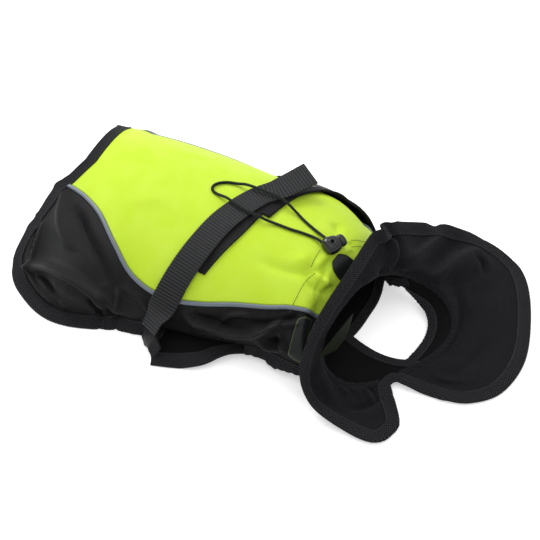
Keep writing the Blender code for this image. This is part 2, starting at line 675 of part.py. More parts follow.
def chest_and_throat():
    share = np.linspace(0, 1, 11)
    w, s = np.meshgrid(np.linspace(0, 1, 9), share, indexing="ij")
    sheet("chest_panel", chest, w, s, CLOTH, SOFTSHELL)
    for name, side in (("chest_tape_near", 0.0), ("chest_tape_far", 1.0)):
        s = share[2:-1] if side else share[5:-2]
        edge = chest(side + 0 * s, s)
        away = normal(chest, side + 0 * s, s)
        out = edge - chest(abs(side - 0.05) + 0 * s, s)
        edging(name, edge, out, away, away, 0.0, LEG_TAPE_WIDTH)
    share = np.linspace(0, 1, 19)
    w, s = np.meshgrid(share, np.linspace(0, 1, 4), indexing="ij")
    sheet("throat_band", throat, w, s, CLOTH, SOFTSHELL)
    w = share[1:-2]
    edge = throat(w, 1 + 0 * w)
    out = edge - throat(w, 0.9 + 0 * w)
    away = normal(throat, w, 1 + 0 * w)
    edging("throat_tape", edge, out, away, away, 0.0, LEG_TAPE_WIDTH)


def collar_pieces():
    rows = len(COLLAR) - 1
    w_line = np.linspace(0, rows, 55)
    s_line = np.linspace(0, 1, 9)
    w, s = np.meshgrid(w_line, s_line, indexing="ij")
    sheet("collar", collar, w, s, CLOTH, TWILL)
    path_w = np.concatenate([np.zeros(6), w_line, np.full(6, rows)])
    path_s = np.concatenate([s_line[2:-1], np.ones(55), s_line[-2:1:-1]])
    edge = collar(path_w, path_s)
    away = normal(collar, path_w, path_s)
    inside = collar(np.clip(path_w, 0.5, rows - 0.5), np.clip(path_s - 0.1, 0, 1))
    edging("collar_tape", edge, edge - inside, away, away, 0.0, TAPE_WIDTH)


def patches():
    """Flat pieces on the back: a runs from the rounded end, b from the upper edge to the lower one."""
    for name, corners in (("chest_tab", CHEST_TAB), ("leash_patch", LEASH_PATCH)):
        a, b = np.meshgrid(np.linspace(0, 1, 8), np.linspace(0, 1, 7), indexing="ij")
        blunt = np.clip((0.34 - a) / 0.34, 0, 1) ** 2
        b = 0.5 + (b - 0.5) * np.sqrt(1 - 0.8 * blunt)
        first, second, third, fourth = (np.array(corner) for corner in corners)
        x, y = a[..., None], b[..., None]
        place = (1 - y) * ((1 - x) * first + x * second) + y * ((1 - x) * third + x * fourth)
        above = lambda u, v: above_back(u, v, PATCH_LIFT + 0 * u)
        sheet(name, above, place[..., 0], place[..., 1], PATCH, SOFTSHELL)


def drawstring():
    at = spline(CORD_LOOP, np.linspace(0, len(CORD_LOOP) - 1, 79))
    middle = above_back(at[:, 0], at[:, 1], at[:, 2])
    points = (middle - np.array([CENTRE[0], CENTRE[1], 0.0])) * TABLE_UNIT
    data = bpy.data.curves.new("drawstring", "CURVE")
    data.dimensions = "3D"
    data.bevel_depth = CORD / 2 * TABLE_UNIT
    data.bevel_resolution = 1
    data.use_fill_caps = True
    line = data.splines.new("POLY")
    line.points.add(len(points) - 1)
    for point, place in zip(line.points, points):
        point.co = (*place, 1.0)
    piece = bpy.data.objects.new("drawstring", data)
    bpy.context.collection.objects.link(piece)
    colour(piece, WEBBING)


def toggle():
    """Spring toggle: a rounded body and the button that is pressed to let the cord run."""
    places = np.array(TOGGLE)
    middle, button = above_back(places[:, 0], places[:, 1], places[:, 2])
    up = normal(smooth_back, places[:1, 0], places[:1, 1])[0]
    axis = unit(button - middle)
    side = unit(np.cross(axis, up))
    up = np.cross(side, axis)
    turn = np.linspace(0, 2 * np.pi, 17)[:-1]
    for name, rings in (("toggle_body", TOGGLE_BODY), ("toggle_button", TOGGLE_BUTTON)):
        outline = np.cos(turn)[:, None] * side * TOGGLE_SQUASH[0]
        outline = outline + np.sin(turn)[:, None] * up * TOGGLE_SQUASH[1]
        swept(name, np.stack([middle + axis * along + outline * radius for along, radius in rings]), GLOSS)


def main():
    for old in list(bpy.data.objects):
        bpy.data.objects.remove(old, do_unlink=True)
    panels()
    hem_tapes()
    belly_band()
    strap()
    chest_and_throat()
    collar_pieces()
    patches()
    drawstring()
    toggle()


main()
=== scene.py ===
# Winter coat for a dog, filled out and hollow, lying on its belly on a pale floor.
# Head towards +X and the dog's right side towards -Y. Tables are in millimetres.
import bpy
import numpy as np
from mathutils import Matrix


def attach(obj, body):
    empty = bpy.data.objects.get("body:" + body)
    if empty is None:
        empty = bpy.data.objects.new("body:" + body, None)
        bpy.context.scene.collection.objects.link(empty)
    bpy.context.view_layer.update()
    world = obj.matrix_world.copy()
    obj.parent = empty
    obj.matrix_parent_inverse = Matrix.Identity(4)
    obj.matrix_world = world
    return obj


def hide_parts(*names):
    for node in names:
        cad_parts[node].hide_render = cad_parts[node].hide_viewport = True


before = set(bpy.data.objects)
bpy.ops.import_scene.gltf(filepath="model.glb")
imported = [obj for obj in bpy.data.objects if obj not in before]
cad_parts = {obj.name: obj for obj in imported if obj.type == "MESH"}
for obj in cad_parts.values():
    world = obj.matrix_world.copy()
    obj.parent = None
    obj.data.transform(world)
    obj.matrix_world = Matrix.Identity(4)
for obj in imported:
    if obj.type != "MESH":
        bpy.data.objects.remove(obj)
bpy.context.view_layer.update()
print("frame loaded:", len(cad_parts), "nodes")

# What every piece shares: the cloth's thickness, the clearance at a seam, the middle of the coat on the floor
coat = {"cloth": 1.8, "seam": 0.3, "middle": (70.3, -14.8, 0.0), "metre": 0.001}

# Sections of the back from the tail to the neck, each as two cubic curves from the crest
backForm = {
    # crest, near shoulder, near flank, near hem, far shoulder, far flank, far hem
    "tail": (
        (-155, 0, 79), (-168, -50, 72), (-206, -76, 17), (-188, -119, 4),
        (-157, 62, 82), (-165, 103, 54), (-168, 105, 5),
    ),
    "rump": (
        (-103, 0, 86), (-106, -75, 89), (-124, -136, 40), (-124, -147, 3.5),
        (-103, 64, 88), (-106, 110, 52), (-108, 112, 5),
    ),
    "loin": (
        (-40, 0, 89), (-42, -75, 91), (-50, -126, 50), (-54, -131, 10),
        (-40, 66, 91), (-40, 108, 50), (-40, 108, 15),
    ),
    "girth": (
        (25, 0, 89), (25, -72, 90), (28, -116, 52), (28, -120, 13),
        (25, 64, 91), (25, 102, 50), (25, 100, 20),
    ),
    "shoulder": (
        (90, 0, 88), (90, -66, 88), (95, -111, 46), (97, -110, 17),
        (92, 64, 90), (96, 100, 52), (98, 88, 20),
    ),
    "withers": (
        (135, -2, 82), (126, -62, 82), (132, -116, 42), (141, -114, 19),
        (135, 42, 82), (144, 74, 46), (150, 64, 18),
    ),
    "yoke": (
        (158, -4, 70), (126, -78, 61), (140, -130, 18), (192, -110, 11),
        (158, 30, 68), (170, 50, 40), (178, 38, 18),
    ),
    "neck": (
        (172, -5, 55), (130, -98, 43), (176, -144, 4.5), (224, -86, 6),
        (177, 16, 51), (193, 29, 44), (210, 34, 36),
    ),
}
lastSection = len(backForm) - 1

backFit = {
    "neckPull": 0.6,  # how far the near side's cloth is drawn towards the nape
    "pullFrom": 4.6,
    "tailCorner": 0.32,  # a rounded tail corner, in sections
    "tailCornerStart": 0.85,
    # places of the piping at every half section, from the crest (0) to the hem (1)
    "pipingNear": (
        0.25, 0.262, 0.315, 0.45, 0.63, 0.725, 0.70, 0.63, 0.575, 0.518, 0.485, 0.462, 0.445, 0.44, 0.44,
    ),
    "pipingFar": (
        0.70, 0.70, 0.70, 0.71, 0.73, 0.76, 0.77, 0.78, 0.79, 0.80, 0.80, 0.80, 0.78, 0.74, 0.70,
    ),
    # broad folds: from (u, v) to (u, v), height and width
    "folds": (
        (0.10, -0.33, 0.70, -0.54, 5.0, 11),
        (0.32, -0.36, 0.82, -0.48, -4.0, 8),
        (0.40, -0.86, 1.00, -0.80, 3.5, 12),
        (1.00, -0.80, 1.60, -0.93, 3.5, 12),
        (1.62, -0.75, 1.74, -0.93, 3.0, 6),
        (1.86, -0.76, 1.94, -0.94, 3.0, 6),
        (2.86, -0.80, 3.30, -0.94, 3.5, 8),
        (3.00, -0.95, 3.90, -0.84, 4.0, 9),
        (3.90, -0.84, 4.60, -0.62, 4.0, 9),
        (3.25, -0.80, 3.80, -0.72, -3.5, 8),
        (3.80, -0.76, 4.55, -0.66, 3.0, 7),
        (4.10, -0.24, 4.66, -0.13, 2.5, 10),
        (4.96, -0.12, 5.30, -0.30, -3.5, 8),
        (5.10, -0.24, 5.60, -0.26, 3.0, 6),
        (5.15, 0.10, 5.60, 0.08, 2.5, 7),
    ),
    # finer creases: places (u, v) along each, height, width, lean to one side, strength at its two ends
    "creases": (
        # near side, tail
        (((0.01, -0.31), (0.35, -0.46), (0.68, -0.53), (0.90, -0.54)), 5.5, 5.1, 0.3, 0.5, 0.2),
        (((0.50, -0.37), (0.86, -0.44), (1.31, -0.55), (1.70, -0.72)), -6.8, 8.5, 0.2, 0.3, 0.2),
        (((0.06, -0.56), (0.20, -0.70), (0.26, -0.88)), 5.5, 2.9, 0.3, 0.3, 0.8),
        (((0.01, -0.58), (0.08, -0.70), (0.19, -0.86)), -5.1, 2.7, 0.0, 0.5, 0.4),
        (((0.09, -0.81), (0.23, -0.89), (0.50, -0.94), (0.88, -0.955)), 3.9, 2.2, 0.0, 0.2, 0.2),
        (
            ((0.26, -0.89), (0.46, -0.81), (0.73, -0.74), (1.12, -0.72), (1.43, -0.77), (1.74, -0.88),
             (2.20, -0.96)),
            9.8, 5.1, 0.35, 0.4, 0.2,
        ),
        (((0.49, -0.84), (0.71, -0.83), (0.95, -0.88), (1.07, -0.94)), -7.6, 3.9, 0.2, 0.3, 0.4),
        (((0.84, -0.85), (1.00, -0.90), (1.14, -0.94)), 5.1, 2.7, 0.0, 0.2, 0.5),
        (((1.48, -0.82), (1.64, -0.91), (1.71, -0.99)), -8.1, 3.1, 0.0, 0.2, 0.9),
        (((1.78, -0.88), (1.86, -0.94), (1.96, -0.99)), -7.6, 2.9, 0.0, 0.3, 0.9),
        (((1.86, -0.74), (1.90, -0.81), (1.91, -0.88)), 4.6, 3.4, 0.2, 0.2, 0.3),
        (((1.99, -0.75), (2.24, -0.79), (2.35, -0.87)), 5.5, 3.7, 0.3, 0.3, 0.3),
        # near side behind the collar
        (
            ((2.84, -0.83), (2.98, -0.86), (3.21, -0.86), (3.45, -0.875), (3.70, -0.86), (3.94, -0.81),
             (4.45, -0.66)),
            8.8, 3.7, 0.45, 0.3, 0.4,
        ),
        (((2.90, -0.80), (3.20, -0.81), (3.50, -0.82)), -5.9, 3.4, 0.0, 0.2, 0.3),
        (((3.81, -0.725), (4.12, -0.69), (4.59, -0.60), (4.78, -0.55)), -7.1, 3.6, 0.0, 0.3, 0.4),
        (((3.29, -0.85), (3.45, -0.74), (3.66, -0.69), (3.85, -0.71)), 5.9, 3.4, 0.3, 0.4, 0.3),
        (((3.86, -0.87), (4.15, -0.755), (4.45, -0.66), (4.81, -0.62)), 6.7, 3.4, 0.4, 0.4, 0.5),
        (((3.95, -0.88), (4.17, -0.92), (4.45, -0.90), (4.69, -0.87)), 6.7, 3.1, 0.3, 0.3, 0.4),
        (((4.50, -0.72), (4.59, -0.82), (4.81, -0.86)), 6.3, 2.9, 0.3, 0.5, 0.3),
        (((4.20, -0.84), (4.40, -0.80), (4.60, -0.77)), -5.5, 2.9, 0.0, 0.3, 0.4),
        # on top
        (((3.56, -0.29), (3.95, -0.30), (4.54, -0.275), (4.85, -0.23)), -3.1, 6.4, 0.2, 0.2, 0.4),
        (((4.81, -0.19), (4.91, -0.114), (5.05, -0.054), (5.30, 0.007)), 4.2, 3.5, 0.3, 0.4, 0.5),
        (((4.70, -0.30), (5.06, -0.32), (5.81, -0.30)), -4.5, 4.8, 0.2, 0.3, 0.5),
        (((4.86, -0.24), (5.20, -0.25), (5.70, -0.235)), 3.9, 3.2, 0.3, 0.3, 0.6),
        (((4.55, 0.204), (4.66, 0.16), (4.76, 0.114)), -3.1, 6.4, 0.0, 0.2, 0.3),
        (((5.15, 0.114), (5.35, 0.10), (5.56, 0.086)), -3.9, 4.0, 0.0, 0.3, 0.6),
        (((4.30, -0.17), (4.61, -0.225)), 2.8, 4.8, 0.0, 0.2, 0.3),
        (((0.35, 0.05), (0.90, 0.10), (1.40, 0.02)), -2.1, 9.6, 0.2, 0.1, 0.1),
        (((1.20, -0.20), (1.80, -0.12), (2.20, -0.22)), 1.7, 9.6, 0.2, 0.1, 0.1),
        (((0.75, 0.40), (1.40, 0.30), (2.10, 0.38)), 2.1, 10.4, 0.2, 0.1, 0.1),
        # far side
        (((0.05, 0.60), (0.40, 0.72), (0.90, 0.80)), 2.6, 6.0, 0.3, 0.4, 0.2),
        (((0.30, 0.92), (0.80, 0.84), (1.40, 0.83), (1.95, 0.93)), 3.4, 6.0, 0.3, 0.3, 0.3),
        (((0.60, 0.94), (1.10, 0.91), (1.50, 0.95)), -2.6, 4.4, 0.0, 0.3, 0.3),
        (((2.10, 0.88), (2.50, 0.82), (2.90, 0.88)), 2.8, 5.0, 0.3, 0.2, 0.3),
        (((4.35, 0.90), (4.70, 0.80), (5.10, 0.74)), 2.8, 4.4, 0.3, 0.4, 0.2),
        (((4.60, 0.95), (5.00, 0.90), (5.40, 0.86)), -2.4, 4.0, 0.0, 0.4, 0.3),
        (((5.40, 0.55), (5.80, 0.62), (6.20, 0.70)), 1.8, 6.0, 0.2, 0.2, 0.4),
    ),
}

# The neck seam as two cubic curves from the nape to the throat, and the collar that is sewn to it
collarForm = {
    "near": ((172, -5, 55), (130, -98, 43), (176, -144, 4.5), (224, -86, 6)),
    "far": ((172, -5, 55), (190, 64, 42), (322, 50, -8), (236, -69, 5)),
    "seam": 1.0,
    "slit": ((231, -73, 5.6), (226, -80, 6.2)),  # top of the slit, from the far flap to the near one
    "slitInner": (222, -70, 5.0),  # the cloth's side of it
    "slitWidth": 9.5,
    # place on the neck seam, edge of the cloth, heading at the seam, heading at the edge
    "rows": (
        (-0.985, (248, -131, 3.0), (5, -16, 0), (4, -14, 0)),
        (-0.86, (240, -146, 3.2), (5, -15, 0), (4, -14, 0)),
        (-0.70, (210, -146, 5.0), (0, -16, -2), (-2, -12, 2)),
        (-0.56, (178, -143, 12.0), (7, -20, 2), (-4, -9, 7)),
        (-0.44, (161, -131, 25.0), (11, -17, 8), (-4, -4, 12)),
        (-0.32, (156, -106, 45.0), (8, -18, 12), (-5, -5, 12)),
        (-0.20, (159, -71, 64.0), (7, -10, 15), (-6, -4, 13)),
        (-0.04, (166, -22, 77.0), (6, -4, 14), (-9, -1, 13)),
        (0.12, (168, 22, 81.0), (6, 6, 15), (-8, 4, 13)),
        (0.24, (172, 49, 70.0), (9, 12, 13), (-6, 8, 13)),
        (0.36, (190, 79, 50.0), (10, 17, 10), (-4, 14, 10)),
        (0.46, (215, 108, 30.0), (10, 22, 9), (0, 18, 6)),
        (0.56, (248, 124, 14.0), (12, 26, 7), (4, 22, 2)),
        (0.65, (280, 121, 3.0), (14, 26, 2), (10, 20, -2)),
        (0.72, (301, 99, 2.5), (20, 22, 0), (18, 14, 0)),
        (0.80, (320, 55, 2.5), (26, 10, 0), (22, 6, 0)),
        (0.88, (332, 4, 2.5), (26, -2, 0), (24, 0, 0)),
        (0.94, (326, -38, 2.5), (24, -6, 0), (20, -8, 0)),
        (0.975, (306, -60, 2.6), (18, -9, 0), (20, -4, 0)),
        (0.998, (284, -67, 2.8), (14, -2, 1), (16, -1, 0)),
    ),
    "folds": (
        (2.6, 0.45, 4.6, 0.45, -2.0, 26),
        (8.6, 0.25, 9.4, 0.85, 5.0, 9),
        (9.8, 0.15, 12.2, 0.78, 7.0, 10),
        (11.2, 0.10, 13.4, 0.60, -5.0, 12),
        (13.8, 0.62, 15.6, 0.80, 3.5, 14),
        (16.2, 0.20, 17.0, 0.80, 3.0, 9),
    ),
    "creases": (
        # nape: the cloth that turns in, and the hollow behind its edge
        (((8.2, 1.0), (8.6, 0.90), (8.35, 0.62), (8.0, 0.36), (7.6, 0.05)), 10.2, 5.9, 0.35, 0.8, 0.5),
        (((8.75, 0.97), (9.10, 0.86), (8.85, 0.60), (8.5, 0.36), (8.0, 0.08)), -10.2, 5.9, 0.0, 0.7, 0.5),
        (((6.9, 0.60), (7.3, 0.40), (7.0, 0.15)), 4.9, 5.4, 0.2, 0.2, 0.3),
        # far side: the three facets
        (((10.85, 1.0), (10.45, 0.81), (9.80, 0.60), (9.20, 0.40), (8.50, 0.22)), 8.6, 7.2, 0.4, 0.3, 0.3),
        (((11.40, 0.95), (10.90, 0.66), (10.30, 0.42), (9.60, 0.25)), -7.9, 8.1, 0.0, 0.2, 0.3),
        (((11.95, 0.90), (11.55, 0.70), (11.20, 0.51), (10.60, 0.28), (9.98, 0.08)), 8.2, 5.9, 0.4, 0.4, 0.4),
        (((12.3, 0.66), (11.9, 0.48), (11.4, 0.32), (10.8, 0.16)), -6.8, 6.8, 0.0, 0.2, 0.4),
        (((12.00, 0.78), (12.38, 0.77), (12.72, 0.66)), -6.4, 4.0, 0.2, 0.2, 0.3),
        (((11.4, 0.31), (12.5, 0.15), (14.1, 0.08), (15.6, 0.09)), -6.8, 6.3, 0.3, 0.3, 0.3),
        (((13.4, 0.55), (14.6, 0.42), (15.8, 0.30)), 3.4, 10.8, 0.2, 0.1, 0.1),
        (((15.6, 0.60), (16.6, 0.48), (17.6, 0.42)), -3.0, 8.1, 0.2, 0.2, 0.2),
        (((17.2, 0.20), (17.6, 0.45), (17.4, 0.75)), 4.1, 4.5, 0.3, 0.4, 0.2),
        # near flap: pleats that end in one long crease
        (((1.60, 0.55), (0.95, 0.46), (0.10, 0.40)), -5.6, 3.8, 0.3, 0.3, 0.5),
        (((1.35, 0.02), (1.05, 0.10), (0.95, 0.30)), 4.9, 3.2, 0.3, 0.9, 0.2),
        (((0.95, 0.02), (0.65, 0.14), (0.50, 0.40)), 4.9, 3.2, 0.3, 0.9, 0.3),
        (((1.75, 0.02), (1.55, 0.12), (1.45, 0.26)), 4.1, 3.1, 0.3, 0.9, 0.2),
        (((0.45, 0.04), (0.28, 0.16), (0.20, 0.34)), -3.8, 2.7, 0.0, 0.8, 0.3),
        (((2.6, 0.10), (2.5, 0.35), (2.2, 0.62)), 3.4, 5.4, 0.2, 0.5, 0.1),
        (((3.6, 0.10), (3.9, 0.40), (3.7, 0.80)), 3.0, 7.2, 0.2, 0.4, 0.1),
        (((5.2, 0.15), (5.0, 0.50), (5.4, 0.85)), -3.0, 7.2, 0.2, 0.3, 0.2),
    ),
}

# The belly band from its near tip under the strap, below the belly and over the far side
bandForm = {
    # rear edge, front edge, bulge
    "rows": (
        ((-17, -146, 2.5), (-4, -154.5, 5.0), (0, 0, 0)),
        ((-8, -132, 0.9), (37, -141, 9.0), (0, 0, 0)),
        ((-10, -106, 0.9), (66, -114, 8.0), (0, 0, 0)),
        ((-14, -60, 0.9), (152, -62, 0.9), (0, 0, 0)),
        ((-12, 0, 0.9), (168, 0, 0.9), (0, 0, 0)),
        ((-10, 56, 0.9), (162, 44, 0.9), (0, 0, 0)),
        ((-6, 104, 0.9), (146, 78, 6), (0, 6, 0)),
        ((8, 111, 17), (136, 86, 27), (0, 10, 0)),
        ((30, 107, 38), (122, 88, 48), (0, 8, 0)),
    ),
    # the narrow end over the back: rear and front edge as place (u, v) and height above the back
    "strip": (
        ((3.24, 0.72, 2.8), (4.02, 0.66, 6.0)),
        ((3.30, 0.57, 2.6), (3.80, 0.55, 4.6)),
        ((3.32, 0.42, 2.4), (3.66, 0.41, 3.8)),
        ((3.20, 0.24, 2.4), (3.50, 0.22, 3.2)),
        ((2.98, 0.04, 2.4), (3.36, 0.01, 2.8)),
        ((2.76, -0.14, 2.4), (3.24, -0.16, 2.4)),
        ((2.60, -0.30, 2.4), (3.09, -0.32, 2.4)),
        ((2.46, -0.46, 2.4), (2.95, -0.49, 2.4)),
    ),
    "tip": (0.45, 0.0),  # places of the strap that the first rows lie under
    "tipWidth": 25.0,
    "underStrap": 3.0,
}

strapForm = {
    "width": 29.0,
    "thick": 1.8,
    # middle line over the back: place (u, v) and height
    "over": (
        (2.54, -0.76, 6.6),
        (2.61, -0.56, 5.4),
        (2.70, -0.37, 5.2),
        (2.83, -0.17, 5.2),
        (2.98, -0.03, 5.2),
        (3.15, 0.10, 5.6),
    ),
    # near end beside the back and free far end above it: points and facing
    "nearEnd": (((-14, -142, 23), (-0.56, -0.61, 0.56)), ((-11.5, -132, 33), (-0.45, -0.62, 0.64))),
    "farEnd": (((52, 36, 97.6), (0.1, 0.05, 1.0)), ((72, 66, 101.5), (0.16, -0.1, 0.98))),
    "rib": 3.4,  # from one rib to the next
    "ribHeight": 0.42,
    "hem": 24.0,  # folded and stitched at the free end, and how much thicker it is there
    "hemThick": 1.2,
    # share of the half width, share of the height
    "profile": (
        (-1.0, 0.35), (-0.97, 0.8), (-0.9, 1.0), (-0.5, 1.0), (0.0, 1.0), (0.5, 1.0), (0.9, 1.0), (0.97, 0.8),
        (1.0, 0.35),
    ),
}

chestForm = {
    "nearBow": (0, -13, 0),
    "farBow": (6, -12, 0),
    "nearLean": 1.0,  # 1 puts the widest place towards the neck, 0 in the middle
    "farLean": 0.0,
    "bandNear": 4.55,
    "bandFar": 5.25,
    "neckNear": -0.84,
    "neckFar": 0.94,
}

throatForm = {
    "farSeam": 0.30,
    "gap": (1.1, -0.8, -0.9),
    "more": 7,  # rings of its tape past its end
    "edge": (
        (178, 38, 18),
        (204, 33, 17),
        (229, 26, 13),
        (243, 12, 6),
        (248, -8, 3),
        (247, -28, 2.4),
        (244, -42, 2.2),
    ),
}

tapeForm = {
    "legNearFlare": (0, -0.9, -0.2),  # the tape stands out from the hem at the near leg
    "bandNearFlare": (0, 0, -0.8),  # and hangs down from the lifted edge of the band
    "stitchInset": 1.3,  # from the lip's edge to the row of stitches, and its rise over the cloth
    "stitchRise": 0.72,
    "stitchFloor": 0.6,  # a row that would come lower than this is left out
    "floorGap": 0.03,
    "width": 13.0,
    "legWidth": 9.0,
    "thick": 3.0,
    "lip": 1.7,  # how far it covers the cloth
    "clear": 0.15,  # between its inside and the cloth
    "lipThick": 0.55,
    # share of the way out and half its thickness there
    "profile": (
        (0.0, 1.75), (0.08, 1.72), (0.2, 1.55), (0.36, 1.46), (0.52, 1.42), (0.68, 1.4), (0.84, 1.38),
        (0.94, 1.1),
    ),
    "turned": 0.3,  # share of the way out where it has turned from the cloth's facing to its own
    "root": 0.05,  # how far its groove goes past the cloth's edge
    "tooth": 0.22,  # the woven edge's small teeth and their spacing
    "toothPitch": 1.9,
    "spacing": 0.95,  # between its rings
    "hemNear": 2.36,
    "hemFar": 2.05,
    "legNear": (3.75, 5.9),
    # where the near leg's tape bulges out: place u, extra width, half length
    "legNearBulges": ((4.44, 5.0, 0.20), (4.80, 2.0, 0.16)),
    "legFar": (4.1, 6.7),
    # gathers: spacing, swing to and fro, share by which they shorten the tape
    "nearGather": (14.0, 1.0, 0.06),
    "farGather": (8.0, 1.5, 0.16),
    "throatGather": (8.0, 0.6, 0.08),
    "bandRear": (2.0, 10.2),
    "bandNear": (1.06, 4.3),
    "bandEnd": 2.9,
}

drawstringForm = {
    "diameter": 3.0,
    # place (u, v) and height above the back
    "loop": (
        (4.598, -0.054, 6.4),
        (4.48, -0.040, 4.6),
        (4.30, -0.032, 2.8),
        (4.08, -0.036, 2.8),
        (3.88, -0.042, 2.8),
        (3.66, -0.042, 3.0),
        (3.48, -0.046, 4.6),
        (3.30, -0.05, 8.2),
        (3.12, -0.044, 8.7),
        (2.94, -0.032, 8.5),
        (2.76, -0.014, 8.5),
        (2.62, 0.005, 5.2),
        (2.50, 0.016, 2.9),
        (2.40, 0.03, 2.8),
        (2.36, 0.06, 2.8),
        (2.40, 0.095, 2.8),
        (2.52, 0.13, 2.8),
        (2.68, 0.145, 3.6),
        (2.84, 0.138, 7.6),
        (3.02, 0.125, 10.2),
        (3.22, 0.115, 11.2),
        (3.42, 0.105, 11.8),
        (3.60, 0.095, 9.4),
        (3.78, 0.078, 5.0),
        (3.98, 0.052, 2.8),
        (4.18, 0.030, 2.8),
        (4.38, 0.012, 3.2),
        (4.52, -0.006, 5.2),
        (4.665, -0.022, 7.2),
    ),
    "braid": 4.2,  # length of a strand's turn, and how much it swells the cord
    "swell": 0.1,
    "spacing": 0.6,
    "around": 12,
}


def spline(rows, place):
    # A curve through the rows: place 0 is the first row and each 1 more the next (Catmull-Rom)
    rows = np.asarray(rows, float)
    place = np.clip(np.asarray(place, float).ravel(), 0, len(rows) - 1)
    first = np.minimum(place.astype(int), len(rows) - 2)
    part = (place - first)[:, None]
    padded = np.vstack([2 * rows[0] - rows[1], rows, 2 * rows[-1] - rows[-2]])
    a, b, c, d = (padded[first + step] for step in range(4))
    return b + 0.5 * part * (c - a + part * (2 * a - 5 * b + 4 * c - d + part * (3 * b - a - 3 * c + d)))


def cubic(points, t):
    # Bernstein sum of four points
    p0, p1, p2, p3 = points
    return (1 - t) ** 3 * p0 + 3 * (1 - t) ** 2 * t * p1 + 3 * (1 - t) * t * t * p2 + t**3 * p3


def unit(vectors):
    return vectors / np.maximum(np.linalg.norm(vectors, axis=-1, keepdims=True), 1e-9)


def dot(a, b):
    return np.einsum("...i,...i->...", a, b)


def together(u, v):
    # Both as arrays of one shape
    return np.broadcast_arrays(np.asarray(u, float), np.asarray(v, float))


def smoothBack(u, v):
    # u runs from the tail to the neck and v from the near hem (-1) over the crest (0) to the far hem (1)
    u, v = together(u, v)
    table = np.array(list(backForm.values()), float).reshape(len(backForm), -1)
    at = spline(table, u).reshape(-1, 7, 3)
    ahead = np.clip((u - backFit["pullFrom"]) / (lastSection - backFit["pullFrom"]), 0, 1)
    pull = backFit["neckPull"] * ahead**2 * (3 - 2 * ahead)
    v = np.where(v < 0, v * (1 - pull * (1 + v)), v)
    near = (v.ravel() < 0)[:, None]
    side = [at[:, 0]] + [np.where(near, at[:, k], at[:, k + 3]) for k in (1, 2, 3)]
    return cubic(side, np.abs(v).reshape(-1, 1)).reshape(u.shape + (3,))


def facing(surface, u, v, step=0.004):
    # Cross product of the two small steps along the surface
    along = surface(u + step, v) - surface(u - step, v)
    across = surface(u, v + step) - surface(u, v - step)
    return unit(np.cross(along, across))


def foldHeight(u, v, folds, sectionLength, sideLength):
    # Sum of bell-shaped ridges along straight lines in (u, v)
    height = np.zeros(np.broadcast(u, v).shape)
    for u0, v0, u1, v1, rise, width in folds:
        du = (u1 - u0) * sectionLength
        dv = (v1 - v0) * sideLength
        pu = (u - u0) * sectionLength
        pv = (v - v0) * sideLength
        place = np.clip((pu * du + pv * dv) / (du * du + dv * dv), 0, 1)
        away = (pu - place * du) ** 2 + (pv - place * dv) ** 2
        height = height + rise * np.exp(-away / width**2) * (0.45 + 0.55 * np.sin(np.pi * place))
    return height


def creaseHeight(points, up, surface, creases):
    # Sum of ridges and troughs: each is a bell over the distance to a curve laid on the surface,
    # wider on one side by its lean, and fades between its two end strengths
    height = np.zeros(points.shape[:-1])
    for places, rise, width, lean, start, end in creases:
        places = spline(places, np.linspace(0, len(places) - 1, 5 * len(places) - 4))
        line = surface(places[:, 0], places[:, 1])
        pieces = len(line) - 1
        low, high = line.min(axis=0) - 4 * width, line.max(axis=0) + 4 * width
        inside = np.all((points > low) & (points < high), axis=-1)
        if not inside.any():
            continue
        close = points[inside]
        best, part, turn = np.full(len(close), 1e9), np.zeros(len(close)), np.ones(len(close))
        for k in range(pieces):
            step = line[k + 1] - line[k]
            place = np.clip((close - line[k]) @ step / (step @ step), 0, 1)
            offset = close - line[k] - place[:, None] * step
            away = np.linalg.norm(offset, axis=-1)
            better = away < best
            best = np.where(better, away, best)
            part = np.where(better, (k + place) / pieces, part)
            turn = np.where(better, np.sign(dot(np.cross(step, offset), up[inside])), turn)
        spread = width * (1 + lean * turn)
        ends = start * (1 - part) + end * part
        strength = ends + (1 - ends) * np.sin(np.pi * part) ** 0.8
        height[inside] += rise * strength * np.exp(-((best / spread) ** 2))
    return height


def back(u, v):
    # The smooth back, moved along its facing by the broad folds and the finer creases
    u, v = together(u, v)
    points = smoothBack(u, v)
    up = facing(smoothBack, u, v)
    rise = foldHeight(u, v, backFit["folds"], 58.0, 150.0)
    rise = rise + creaseHeight(points, up, smoothBack, backFit["creases"])
    return points + rise[..., None] * up


def aboveBack(u, v, height):
    u, v = together(u, v)
    return back(u, v) + np.asarray(height)[..., None] * facing(smoothBack, u, v)


def neckSeam(t):
    # t runs from the near end of the throat (-1) over the nape (0) to the far end (1)
    t = np.asarray(t, float)[..., None]
    near = cubic(np.array(collarForm["near"], float), np.abs(t))
    far = cubic(np.array(collarForm["far"], float), np.abs(t))
    return np.where(t < 0, near, far)


def smoothCollar(w, s):
    # w runs along the collar's rows and s from the neck seam (0) to the edge of the cloth (1)
    w, s = together(w, s)
    table = np.array([(row[0],) + row[1] + row[2] + row[3] for row in collarForm["rows"]], float)
    at = spline(table, w)
    edge = at[:, 1:4]
    heading = at[:, 4:7]
    seam = neckSeam(at[:, 0]) + collarForm["seam"] * unit(heading)
    points = cubic((seam, seam + heading, edge - at[:, 7:10], edge), s.reshape(-1, 1))
    return points.reshape(w.shape + (3,))


def collar(w, s):
    w, s = together(w, s)
    points = smoothCollar(w, s)
    up = facing(smoothCollar, w, s)
    rise = foldHeight(w, s, collarForm["folds"], 18.0, 75.0)
    rise = rise + creaseHeight(points, up, smoothCollar, collarForm["creases"])
    points = points + (rise * np.clip(s / 0.12, 0, 1))[..., None] * up
    points[..., 2] = np.maximum(points[..., 2], coat["cloth"] / 2 + 0.7)
    return points


collarEnd = len(collarForm["rows"]) - 1


